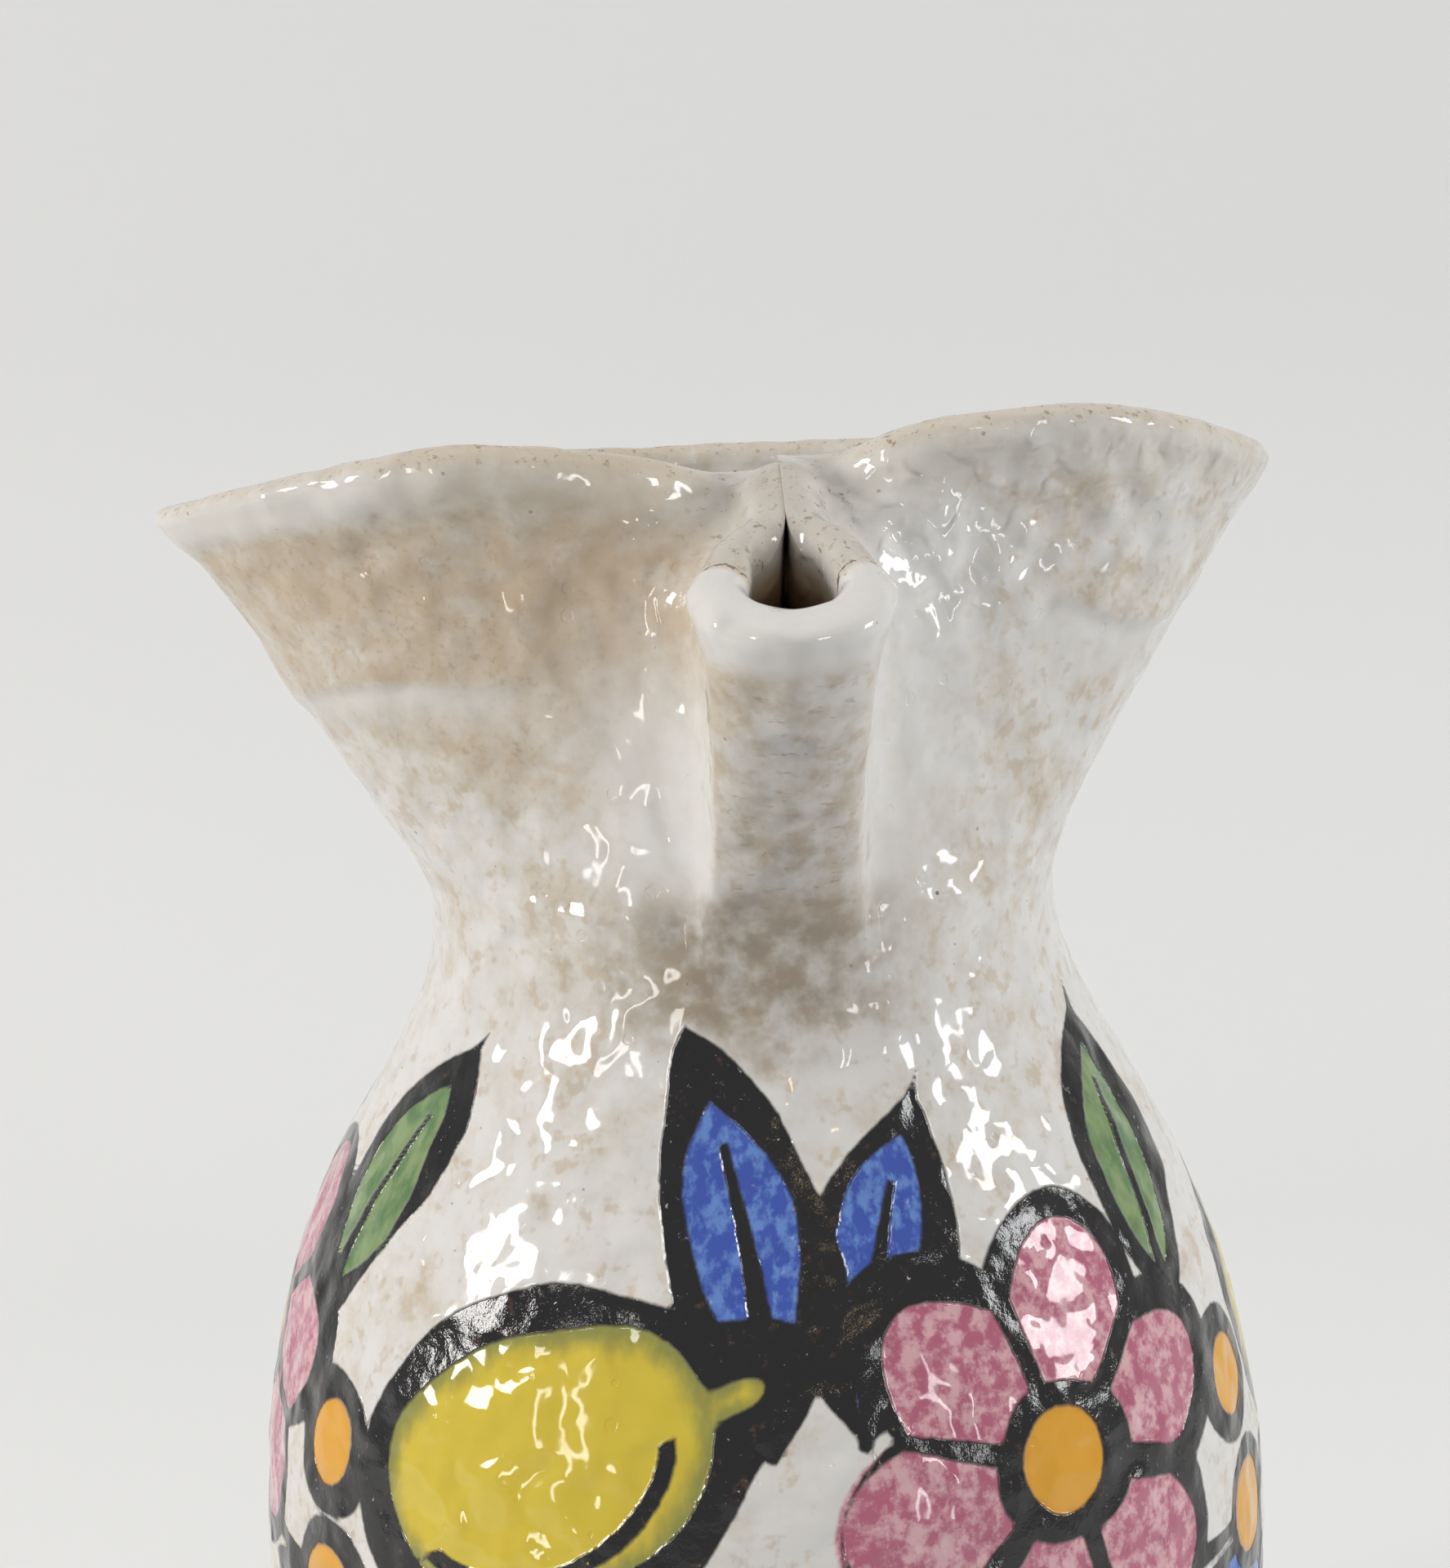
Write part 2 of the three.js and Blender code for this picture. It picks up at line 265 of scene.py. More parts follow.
def mouth_at(station):
    """A smooth closed curve through the control points, with every value carried along."""
    station = np.asarray(station, float)
    first = np.floor(station).astype(int)
    t = (station - first)[:, None]

    def control(step):
        index = first + step
        turns = np.floor(index / STATIONS).astype(int)
        rows = mouth[index - turns * STATIONS].copy()
        rows[:, 3] += turns * FULL_TURN
        return rows

    p0, p1, p2, p3 = (control(step) for step in (-1, 0, 1, 2))

    def span(a, b):
        return np.sqrt(np.linalg.norm(b[:, :3] - a[:, :3], axis=1))[:, None]

    d0, d1, d2 = span(p0, p1), span(p1, p2), span(p2, p3)
    leave = ((p1 - p0) / d0 - (p2 - p0) / (d0 + d1) + (p2 - p1) / d1) * d1
    arrive = ((p2 - p1) / d1 - (p3 - p1) / (d1 + d2) + (p3 - p2) / d2) * d1
    cubic = 2.0 * p1 - 2.0 * p2 + leave + arrive
    return p1 + t * (leave + t * (3.0 * (p2 - p1) - 2.0 * leave - arrive + t * cubic))


def flare(height):
    ease = FLARE_EASE / RIM_HEIGHT
    top = math.hypot(1.0, ease) - ease
    return (np.hypot(height, ease) - ease) / top


# Columns round the jug: by length along the rim, closer together in the fold, mirrored left and right.
def column_stations():
    fine = np.linspace(0.0, STATIONS / 2.0, 6001)
    rim = mouth_at(fine)[:, :3]
    steps = np.linalg.norm(np.diff(rim, axis=0), axis=1)
    middle = (fine[1:] + fine[:-1]) / 2.0
    weight = mix(FOLD_DENSITY, 1.0, smooth(7.4, 8.8, middle))
    run = np.r_[0.0, np.cumsum(steps * weight)]
    right = np.interp(np.linspace(0.0, run[-1], COLUMNS // 2 + 1), run, fine)
    right[np.argmin(np.abs(right - STRAP_EDGE))] = STRAP_EDGE
    return np.r_[right, STATIONS - right[-2:0:-1]]


stations = column_stations()
rim_row = mouth_at(stations)
from_front = np.minimum(stations, STATIONS - stations)
side_of = np.where(stations <= STATIONS / 2.0, 1.0, -1.0)
strap_column = int(np.argmin(np.abs(stations - STRAP_EDGE)))
half_step = 0.02
before = mouth_at(stations - half_step)
after = mouth_at(stations + half_step)
inward = np.stack([before[:, 1] - after[:, 1], after[:, 0] - before[:, 0]], axis=-1)
inward /= np.linalg.norm(inward, axis=1)[:, None]
rim_step = np.linalg.norm(np.diff(rim_row[: COLUMNS // 2 + 1, :3], axis=0), axis=1)
rim_run = np.r_[0.0, np.cumsum(rim_step)]
rim_run = np.r_[rim_run, rim_run[-2:0:-1]]

# How far each column belongs to the rolled front lip, and to the web whose walls are pressed together.
in_lip = 1.0 - smooth(2.35, 3.1, from_front)
in_web = window(from_front, 3.35, 4.1, 6.7, 7.5)
in_funnel = window(from_front, 2.4, 3.4, 3.8, 4.6)
on_wing = np.exp(-(((from_front - 9.9) / 0.75) ** 2))
bead_proud = mix(mix(COLLAR_BEAD[0], WING_BEAD[0], on_wing), GRIP_BEAD[0], in_lip) * (1.0 - 0.7 * in_web)
bead_crest = mix(mix(COLLAR_BEAD[1], WING_BEAD[1], on_wing), GRIP_BEAD[1], in_lip)
lip_round = mix(mix(COLLAR_LIP_ROUND, GRIP_LIP_ROUND, in_lip), WEB_ROUND, in_web)
inner_round = mix(COLLAR_LIP_ROUND, GRIP_LIP_ROUND, np.maximum(in_lip, in_web)) + FUNNEL_ROUND * in_funnel
wing_band = window(from_front, 8.9, 9.6, 10.5, 11.0)
band_proud = WING_BAND[0] * wing_band * np.where(side_of < 0, 1.0, 0.45)


def wall_at(height, depth):
    """Points of the flared wall for arrays of height share and depth, one column per station."""
    below = np.maximum(1.0 - height, 0.0) * RIM_HEIGHT
    bead = bead_proud * below / bead_crest * np.exp(1.0 - below / bead_crest)
    roll = window(below, 0.0, 3.0, *WING_BAND[1:])
    into = depth * rim_row[:, 4] - (bead + band_proud * roll) * (1.0 - depth)
    waist = WAIST_RADIUS - depth * BODY_WALL
    spread = flare(height)
    lift = rim_row[:, 2] + rim_row[:, 5] * inward[:, 1] * depth * rim_row[:, 4]
    x = mix(waist * np.sin(rim_row[:, 3]), rim_row[:, 0] + inward[:, 0] * into, spread)
    y = mix(-waist * np.cos(rim_row[:, 3]), rim_row[:, 1] + inward[:, 1] * into, spread)
    z = WAIST_HEIGHT + height * RIM_HEIGHT + spread * lift
    return np.stack([x, y, z], axis=-1)


# Rows of the whole jug, from the middle of its underside, up the outside, over the lip, down the inside
# and to the middle of its floor. Each row has one point per column.
rows = []
row_length = []
row_below = []
marks = {"underside": 0}
even_angle = FULL_TURN * np.arange(COLUMNS) / COLUMNS
full_height = np.ones(COLUMNS)


def add_row(points, length=-1.0, below=60.0):
    rows.append(points)
    row_length.append(length)
    row_below.append(np.broadcast_to(below, (COLUMNS,)))


def ring(radius, height):
    turn = mix(even_angle, rim_row[:, 3], smooth(150.0, 198.0, np.array(height)))
    return np.stack([radius * np.sin(turn), -radius * np.cos(turn), np.full(COLUMNS, height)], axis=-1)


def add_body(mark, lengths, depth=0.0):
    for length in lengths:
        radius, height = body_at(length, depth)
        add_row(ring(float(radius), float(height)), length=float(length))
    marks[mark] = len(rows) - 1


FOOT_EDGE = FOOT_RADIUS - FOOT_CHAMFER
CHAMFER_MIDDLE = (FOOT_RADIUS - 0.62, 0.42)
for radius in (1.0, 8.0, 18.0, 28.0, 37.0, 42.0, FOOT_EDGE - 0.6, FOOT_EDGE):
    add_row(ring(radius, 0.0))
add_row(ring(*CHAMFER_MIDDLE))
add_body("foot", np.linspace(FOOT_CHAMFER, SLAB_THICKNESS, FOOT_ROWS))
add_body("belly", steps(SLAB_THICKNESS, belly_length, BELLY_ROWS))
add_body("waist", steps(belly_length, body_length, SHOULDER_ROWS))

COLLAR_SEAM = 1.0 - COLLAR_BAND / RIM_HEIGHT
GRIP_FOOT = GRIP_FOOT_RISE / RIM_HEIGHT
lip_start = 1.0 - lip_round / RIM_HEIGHT


def add_wall(mark, heights, depth):
    for height in heights:
        height = np.broadcast_to(height, (COLUMNS,))
        add_row(wall_at(height, depth), below=(1.0 - height) * RIM_HEIGHT)
    marks[mark] = len(rows) - 1


add_wall("grip_foot", steps(0.0, GRIP_FOOT, GRIP_FOOT_ROWS), 0.0)
add_wall("seam", steps(GRIP_FOOT, COLLAR_SEAM, NECK_ROWS), 0.0)
add_wall("lip", [mix(COLLAR_SEAM, lip_start, t) for t in steps(0.0, 1.0, COLLAR_ROWS)], 0.0)

# Over the lip. In the web the two walls share one round top with a faint groove along its middle.
for i in range(1, CAP_ROWS - 1):
    phi = math.pi * i / (CAP_ROWS - 1)
    crown = 1.0 - math.sin(phi) ** 0.8
    drop = (lip_round if phi <= math.pi / 2.0 else inner_round) * crown
    web_depth = 1.0 - math.cos(phi / 2.0)
    web_drop = WEB_ROUND * (1.0 - math.sin(phi / 2.0)) + GROOVE_DEPTH * web_depth ** 8
    depth = mix((1.0 - math.cos(phi)) / 2.0, web_depth, in_web)
    drop = mix(drop, web_drop, in_web)
    add_row(wall_at(full_height - drop / RIM_HEIGHT, depth), below=drop)
lip_end = 1.0 - mix(inner_round, GROOVE_DEPTH, in_web) / RIM_HEIGHT
inner_steps = np.r_[0.003, steps(0.0, 1.0, INNER_COLLAR_ROWS)]
add_wall("inner_lip", [lip_end], 1.0)
add_wall("inner_seam", [mix(lip_end, COLLAR_SEAM, t) for t in inner_steps], 1.0)
add_wall("inner_grip_foot", steps(COLLAR_SEAM, GRIP_FOOT, NECK_ROWS), 1.0)
add_wall("inner_waist", steps(GRIP_FOOT, 0.0, GRIP_FOOT_ROWS), 1.0)
add_body("inner_belly", steps(body_length, belly_length, INNER_ROWS), 1.0)
FLOOR_TURN = 18.0
FLOOR_FLAT = 34.0
add_body("inner_foot", steps(belly_length, FLOOR_TURN, INNER_ROWS), 1.0)
floor_corner = [float(v) for v in body_at(SLAB_THICKNESS, 1.0)]
turn_start = [float(v) for v in body_at(FLOOR_TURN, 1.0)]
for share in steps(0.0, 1.0, FLOOR_TURN_ROWS):
    reach = mix(mix(turn_start[0], floor_corner[0], share), mix(floor_corner[0], FLOOR_FLAT, share), share)
    level = mix(mix(turn_start[1], floor_corner[1], share), floor_corner[1], share)
    add_row(ring(reach, level))
for radius in (26.0, 17.0, 8.0, 1.0):
    add_row(ring(radius, floor_corner[1]))
marks["floor"] = len(rows) - 1

grid = np.stack(rows)
below_rim = np.stack(row_below)
body_run = np.array(row_length)
row_index = np.arange(len(rows))

# The creases beside the fold are smoothed over on the outside, as by a thumb: a little at the rim, and into
# broad hollows under it.
column_step = np.linalg.norm(np.roll(rim_row[:, :3], -1, axis=0) - rim_row[:, :3], axis=1)
cap_share = np.clip((row_index - marks["lip"]) / (CAP_ROWS - 1), 0.0, 1.0)
thumbed_rows = (1.0 - smooth(0.0, 0.7, cap_share)) * (row_index > marks["grip_foot"])


def thumb(width, columns, reach):
    weight = thumbed_rows[:, None] * columns * reach
    fine = np.median(column_step[columns > 0.5])
    touched = np.flatnonzero(weight.max(axis=1) > 0.0)
    part = slice(touched[0], touched[-1] + 1)
    for _ in range(int((width / fine) ** 2)):
        between = (np.roll(grid[part], 1, axis=1) + np.roll(grid[part], -1, axis=1)) / 2.0
        grid[part] += (between - grid[part]) * weight[part][..., None]


in_crease = window(from_front, 5.0, 6.4, 8.3, 9.6)
in_hollow = window(from_front, 1.4, 3.2, 8.6, 9.6)
thumb(CREASE_SOFTENING, in_crease, smooth(COLLAR_BAND + 26.0, COLLAR_BAND - 4.0, below_rim))
thumb(HOLLOW_WIDTH, in_hollow, smooth(3.0, 14.0, below_rim) * smooth(60.0, 40.0, below_rim))


def across_fold(points):
    """How far points lie to the right of the fold's middle plane."""
    return points[..., 0] * TURN_COSINE + (-points[..., 1] - GRIP_TURN_REACH) * TURN_SINE


# The pressed walls are bridged with clay under the top of the web.
over_lip = (row_index > marks["lip"]) & (row_index <= marks["inner_grip_foot"])
bridge = in_web * (1.0 - smooth(BRIDGE_DEPTH, BRIDGE_DEPTH + 9.0, below_rim))
depth_share = cap_share[:, None]
pull = np.where(over_lip[:, None], bridge * depth_share ** 4, 0.0)
slack = across_fold(grid) + 0.04 * side_of
grid[..., 0] -= slack * pull * TURN_COSINE
grid[..., 1] += slack * pull * TURN_SINE


def grid_normals(points):
    across = np.roll(points, -1, axis=1) - np.roll(points, 1, axis=1)
    along = np.gradient(points, axis=0)
    normal = np.cross(across, along)
    size = np.linalg.norm(normal, axis=-1, keepdims=True)
    return normal / np.maximum(size, 1e-12)


# Hand-made unevenness and the flow of the thick glaze: heights in millimetres, and how many times higher the
# lumps are beside the fold.
WOBBLE = 0.38
RIPPLE = 0.07
LUMP = 0.065
SMALL_LUMP = 0.02
SEAM_RIDGE = 0.55
FOLD_LUMPS = 4.4
plain_normals = grid_normals(grid)
free = smooth(0.3, 6.0, grid[..., 2])
slit = in_web[None, :] * over_lip[:, None] * (depth_share > 0.3)
wobble = WOBBLE * waves(grid, 66.0, 3) + RIPPLE * waves(grid, 24.0, 5)
lumps = LUMP * waves(grid, 7.8, 7, 34, (1.0, 1.0, 1.15)) + SMALL_LUMP * waves(grid, 4.8, 9, 34)
seam_slope = mix(3.5, -2.5, smooth(-30.0, 30.0, grid[..., 0]))
under_join = below_rim - (COLLAR_BAND + seam_slope + 1.3 * waves(grid, 40.0, 21))
seam_ridge = window(under_join, -9.0, -0.8, -0.4, 1.2)
seam_arc = window(from_front, 8.3, 8.9, 10.1, 10.5)
seam_ridge *= SEAM_RIDGE * (0.3 + 0.7 * seam_arc) * (0.8 + 0.4 * waves(grid, 26.0, 11))
on_outer_wall = ((row_index > marks["waist"]) & (row_index < marks["inner_lip"]))[:, None]
seam_ridge *= on_outer_wall * smooth(7.6, 9.2, from_front)
under_seam = window(under_join, -1.2, 0.6, 1.5, 9.0) * seam_arc * on_outer_wall
fold_side = window(from_front, 6.5, 7.3, 9.0, 9.9) * np.where(side_of > 0, 1.0, 0.45)
fold_lumps = FOLD_LUMPS * fold_side * smooth(30.0, 12.0, below_rim) * smooth(1.0, 6.0, below_rim)
lumps *= 1.0 + fold_lumps * on_outer_wall
wobble *= 0.35 + 0.65 * smooth(6.5, 9.0, from_front)
shift = (wobble + lumps) * free * (1.0 - slit) + seam_ridge
grid += plain_normals * shift[..., None]
normals = grid_normals(grid)

# How deep a point is in the bore of the grip, and how far it is on the pressed top of the fold.
down_inside = ((row_index >= marks["inner_lip"]) & (row_index <= marks["inner_waist"]))[:, None]
bore = down_inside * (1.0 - smooth(6.2, 7.2, from_front)) * smooth(3.5, 15.0, below_rim)
off_middle = np.abs(across_fold(grid) + 0.25 * waves(grid, 12.0, 41))
# Where the pressed slit runs down the middle of the fold, to be coloured as a painted shadow line.
slit_shade_line = down_inside * smooth(0.55, 0.25, off_middle) * smooth(2.6, 3.2, from_front)
slit_shade_line = slit_shade_line * (from_front < CREASE) * smooth(1.0, 3.0, below_rim)
in_fold = window(from_front, 2.5, 2.9, 6.6, 7.6) * (1.0 - smooth(5.0, 11.0, below_rim))

# Painted garland: plain fruit, leaves, flowers and berries in flat colour with a brushed outline. Each
# colour is a field of signed distances in millimetres over the outside of the body.
PAINT_ROWS = slice(marks["foot"], marks["waist"] + 1)
paint_points = grid[PAINT_ROWS]
paint_angle = np.arctan2(paint_points[..., 0], -paint_points[..., 1])
paint_radius = np.hypot(paint_points[..., 0], paint_points[..., 1])
paint_run = np.broadcast_to(body_run[PAINT_ROWS][:, None], paint_angle.shape)
FAR = 9.0
PAINT_INSET = 0.3
PAINTS = ("yellow", "blue", "pink", "orange", "green", "ink")
fields = {name: np.full(paint_angle.shape, FAR) for name in PAINTS}
hand = waves(paint_points, 28.0, 31)
tremble = waves(paint_points, 12.0, 33)


def run_of(height):
    return float(np.interp(height, outline[:, 1], outline_length))


def local(degrees, height):
    away = (paint_angle - math.radians(degrees) + math.pi) % FULL_TURN - math.pi
    return away * paint_radius, paint_run - run_of(height)


def rotated(u, w, degrees):
    turn = math.radians(degrees)
    return u * math.cos(turn) + w * math.sin(turn), w * math.cos(turn) - u * math.sin(turn)


def ellipse(u, w, a, b):
    near = np.hypot(u / a, w / b)
    slope = np.maximum(np.hypot(u / a ** 2, w / b ** 2), 1e-6)
    return near * (near - 1.0) / slope


def pointed(u, w, length, width):
    """Distance to a leaf with two points, its length along u."""
    half = length / 2.0
    rise = width / 2.0
    radius = (half * half + rise * rise) / (2.0 * rise)
    centre = radius - rise
    upper = np.hypot(u, w + centre) - radius
    lower = np.hypot(u, w - centre) - radius
    return np.maximum(upper, lower)


def ink(distance):
    fields["ink"] = np.minimum(fields["ink"], distance)


def lay(colour, distance, brush=2.1):
    """Paints one motif over what is there: its flat colour and a brushed outline."""
    distance = distance + 0.13 * tremble
    for name in fields:
        fields[name] = np.maximum(fields[name], -distance)
    fields[colour] = np.minimum(fields[colour], distance + PAINT_INSET + 0.35 * hand)
    ink(np.abs(distance) - brush * (1.0 + 0.28 * hand))


def stroke(spots, brush, taper=0.35):
    """A brushed line through (degrees, height) spots, thinner at its ends."""
    run_spots = np.array([(math.radians(d) * BELLY_RADIUS, run_of(h)) for d, h in spots])
    centre = math.radians(spots[len(spots) // 2][0])
    away = (paint_angle - centre + math.pi) % FULL_TURN - math.pi
    u = (away + centre) * BELLY_RADIUS
    shrink = paint_radius / BELLY_RADIUS
    best = np.full(u.shape, FAR)
    count = len(run_spots) - 1
    for i in range(count):
        start, end = run_spots[i], run_spots[i + 1]
        way = end - start
        t = ((u - start[0]) * way[0] + (paint_run - start[1]) * way[1]) / (way @ way)
        t = np.clip(t, 0.0, 1.0)
        gap = np.hypot((u - start[0] - t * way[0]) * shrink, paint_run - start[1] - t * way[1])
        place = (i + t) / count
        width = brush * mix(taper, 1.0, np.sin(math.pi * np.clip(place, 0.02, 0.98)) ** 0.6)
        best = np.minimum(best, gap - width * (1.0 + 0.2 * hand))
    ink(best + 0.12 * tremble)


def smooth_spots(spots, steps=7):
    spots = np.array(spots, float)
    padded = np.vstack([2 * spots[0] - spots[1], spots, 2 * spots[-1] - spots[-2]])
    out = []
    for i in range(1, len(padded) - 2):
        a, b, c, d = padded[i - 1: i + 3]
        for t in np.linspace(0.0, 1.0, steps, endpoint=False):
            out.append(0.5 * (2 * b + (c - a) * t + (2 * a - 5 * b + 4 * c - d) * t ** 2
                              + (3 * b - a - 3 * c + d) * t ** 3))
    return [tuple(p) for p in out] + [tuple(spots[-1])]


def leaf(colour, base, tip, width):
    """A bent leaf with a tapered rib, drawn out at its tip."""
    degrees = (base[0] + tip[0]) / 2.0
    height = (base[1] + tip[1]) / 2.0
    u, w = local(degrees, height)
    radius = float(np.interp(height, outline[:, 1], outline[:, 0]))
    across = math.radians(tip[0] - base[0]) * radius
    up = run_of(tip[1]) - run_of(base[1])
    u, w = rotated(u, w, math.degrees(math.atan2(up, across)))
    length = math.hypot(across, up)
    bend = 0.09 * width * (1.0 if tip[0] > base[0] else -1.0)
    w = w + bend * (4.0 * u * u / length ** 2 - 0.5)
    lay(colour, pointed(u - 0.04 * length, w, length, width))
    along = np.clip((u + length * 0.5) / (length * 0.82), 0.0, 1.0)
    vein = np.abs(w) - 1.6 * (1.0 - 0.65 * along) * (1.0 + 0.15 * hand)
    vein = np.maximum(vein, np.abs(u + length * 0.09) - length * 0.41)
    flick = np.abs(w) - 1.8 * (1.0 - np.clip((u - 0.5 * length) / 7.0, 0.0, 0.9))
    flick = np.maximum(flick, np.abs(u - length * 0.5 - 3.0) - 4.0)
    ink(np.minimum(vein, flick))


def fruit(degrees, height, length, width, turn):
    u, w = local(degrees, height)
    u, w = rotated(u, w, turn)
    body = ellipse(u, w, length / 2.0, width / 2.0)
    nub = ellipse(u - length * 0.5, w, length * 0.13, width * 0.14)
    blend = 3.0
    share = np.clip(0.5 + 0.5 * (nub - body) / blend, 0.0, 1.0)
    lay("yellow", mix(nub, body, share) - blend * share * (1.0 - share), 2.4)
    inner = np.abs(ellipse(u + length * 0.03, w, length * 0.36, width * 0.33)) - 0.95 * (1.0 + 0.2 * hand)
    ink(np.maximum(inner, w + width * 0.10 - 0.12 * u))


def flower(degrees, height, radius, petals, turn):
    u, w = local(degrees, height)
    best = np.full(u.shape, FAR)
    for i in range(petals):
        pu, pw = rotated(u, w, turn + 360.0 * i / petals)
        petal = ellipse(pu - radius * 0.56, pw, radius * 0.46, radius * 0.36)
        best = np.minimum(best, petal)
    lay("pink", best, 2.2)
    for i in range(petals):
        pu, pw = rotated(u, w, turn + 360.0 * (i + 0.5) / petals)
        beyond = np.abs(pu - radius * 0.42) - radius * 0.3
        ink(np.maximum(np.abs(pw) - 1.6 * (1.0 + 0.2 * hand), beyond))
    lay("orange", np.hypot(u, w) - radius * 0.27, 2.0)


def berry(degrees, height, radius):
    u, w = local(degrees, height)
    lay("orange", np.hypot(u, w * 0.94) - radius, 2.0)


def spray(middle):
    """One third of the garland, about a middle angle in degrees."""

    def at(degrees, height):
        return middle + degrees, height

    leaf("green", at(49, 150), at(59, 184), 16.0)
    leaf("blue", at(3, 146), at(14, 181), 17.0)
    leaf("blue", at(-4, 146), at(-12, 188), 18.0)
    leaf("blue", at(-13, 122), at(-41, 96), 22.0)
    leaf("green", at(6, 116), at(-3, 76), 19.0)
    leaf("blue", at(46, 114), at(68, 88), 21.0)
    berry(*at(59, 136), 7.4)
    berry(*at(61, 116), 7.8)
    berry(*at(15, 94), 7.4)
    berry(*at(25, 82), 7.0)
    fruit(*at(-31, 142), 55.0, 39.0, 24.0)
    flower(*at(27, 139), 32.0, 6, 12.0)


STEM = ((-60, 116), (-42, 118), (-18, 126), (4, 118), (32, 118), (60, 116))
THIRDS = (0.0, 120.0, 240.0)
for middle in THIRDS:
    stroke(smooth_spots([(middle + degrees, height) for degrees, height in STEM]), 1.9, 0.8)
for middle in THIRDS:
    spray(middle)
BELT_HEIGHT = 36.0
BELT_SWAY = 0.7
for start in (-180, 0):
    turns = range(start, start + 181, 20)
    belt = [(d, BELT_HEIGHT + BELT_SWAY * math.sin(math.radians(3 * d))) for d in turns]
    stroke(smooth_spots(belt), 1.7, 0.9)
paint = {}
for name, field in fields.items():
    whole = np.full(grid.shape[:2], FAR)
    whole[PAINT_ROWS] = np.clip(field, -FAR, FAR)
    paint[name] = whole

# Pieces: blocks of the grid, closed where they meet.
corner = np.arange(grid.shape[0] * COLUMNS).reshape(grid.shape[0], COLUMNS)
ALL = np.arange(COLUMNS + 1) % COLUMNS
GRIP_SPAN = np.arange(-strap_column, strap_column + 1) % COLUMNS
REST_SPAN = np.arange(strap_column, COLUMNS - strap_column + 1)


def block(first, last, span):
    index = corner[marks[first]: marks[last] + 1][:, span]
    around = [index[:-1, :-1], index[:-1, 1:], index[1:, 1:], index[1:, :-1]]
    return np.stack(around, axis=-1).reshape(-1, 4)


def bridge_rows(first, second, span):
    a, b = corner[marks[first]][span], corner[marks[second]][span]
    return np.stack([a[:-1], a[1:], b[1:], b[:-1]], axis=-1)


def bridge_columns(outer_rows, inner_rows, column, facing):
    a, b = corner[outer_rows, column], corner[inner_rows, column]
    quads = np.stack([a[:-1], b[:-1], b[1:], a[1:]], axis=-1)
    return quads if facing > 0 else quads[:, ::-1]


# What the materials read at each point.
point_values = {
    **paint,
    "below_rim": below_rim,
    "rim_run": np.broadcast_to(rim_run * side_of, below_rim.shape),
    "bore": bore,
    "slit": slit_shade_line,
    "fold": in_fold,
    "under_seam": under_seam,
}


def make_piece(name, node, faces, poles=()):
    """One piece from faces of the grid, with each pole's ring closed by a fan."""
    faces = np.vstack(faces)
    used, compact = np.unique(faces, return_inverse=True)
    faces = compact.reshape(-1, 4)
    points = grid.reshape(-1, 3)[used]
    face_normals = normals.reshape(-1, 3)[used]
    mesh = bpy.data.meshes.new(name)
    fans = []
    for mark, up in poles:
        row = marks[mark]
        ring_points = np.searchsorted(used, corner[row])
        fan = [ring_points, np.roll(ring_points, -1), np.full(COLUMNS, len(points))]
        fans.append(np.stack(fan if up else fan[::-1], axis=-1))
        points = np.vstack([points, grid[row].mean(axis=0)])
        face_normals = np.vstack([face_normals, [0.0, 0.0, 1.0 if up else -1.0]])
    loops = np.concatenate([part.ravel() for part in (faces, *fans)])
    sizes = np.concatenate([np.full(len(part), part.shape[1]) for part in (faces, *fans)])
    mesh.vertices.add(len(points))
    mesh.vertices.foreach_set("co", (points * MM).astype(np.float32).ravel())
    mesh.loops.add(len(loops))
    mesh.loops.foreach_set("vertex_index", loops.astype(np.int32))
    mesh.polygons.add(len(sizes))
    starts = np.r_[0, np.cumsum(sizes)[:-1]]
    mesh.polygons.foreach_set("loop_start", starts.astype(np.int32))
    mesh.polygons.foreach_set("use_smooth", np.ones(len(sizes), bool))
    mesh.update(calc_edges=True)
    mesh.validate()
    extra = len(points) - len(used)
    for key, field in point_values.items():
        layer = mesh.attributes.new(key, "FLOAT", "POINT")
        flat = np.r_[np.ascontiguousarray(field).reshape(-1)[used], np.zeros(extra)]
        layer.data.foreach_set("value", flat.astype(np.float32))
    mesh.normals_split_custom_set_from_vertices(face_normals.astype(np.float32))
    piece = bpy.data.objects.new(name, mesh)
    bpy.context.scene.collection.objects.link(piece)
    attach(piece, BODY)
    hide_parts(node)
    return piece


cap_out = np.r_[marks["lip"]: marks["lip"] + CAP_ROWS // 2 + 1]
cap_in = np.r_[marks["inner_lip"]: marks["inner_lip"] - CAP_ROWS // 2 - 1: -1]


def strap_sides(column, facing, first):
    outer = np.r_[marks[first]: marks["lip"] + 1]
    inner = np.r_[marks["inner_" + first]: marks["inner_lip"] - 1: -1]
    share = np.linspace(0.0, 1.0, len(outer))
    matched = inner[np.round(share * (len(inner) - 1)).astype(int)]
    return [
        bridge_columns(outer, matched, column, facing),
        bridge_columns(cap_out, cap_in, column, facing)[:-1],
    ]


def shell(low, high):
    """A section of the body between two marks: outside, upper joint, inside and lower joint."""
    return [
        block(low, high, ALL),
        bridge_rows(high, "inner_" + high, ALL),
        block("inner_" + high, "inner_" + low, ALL),
        bridge_rows("inner_" + low, low, ALL),
    ]


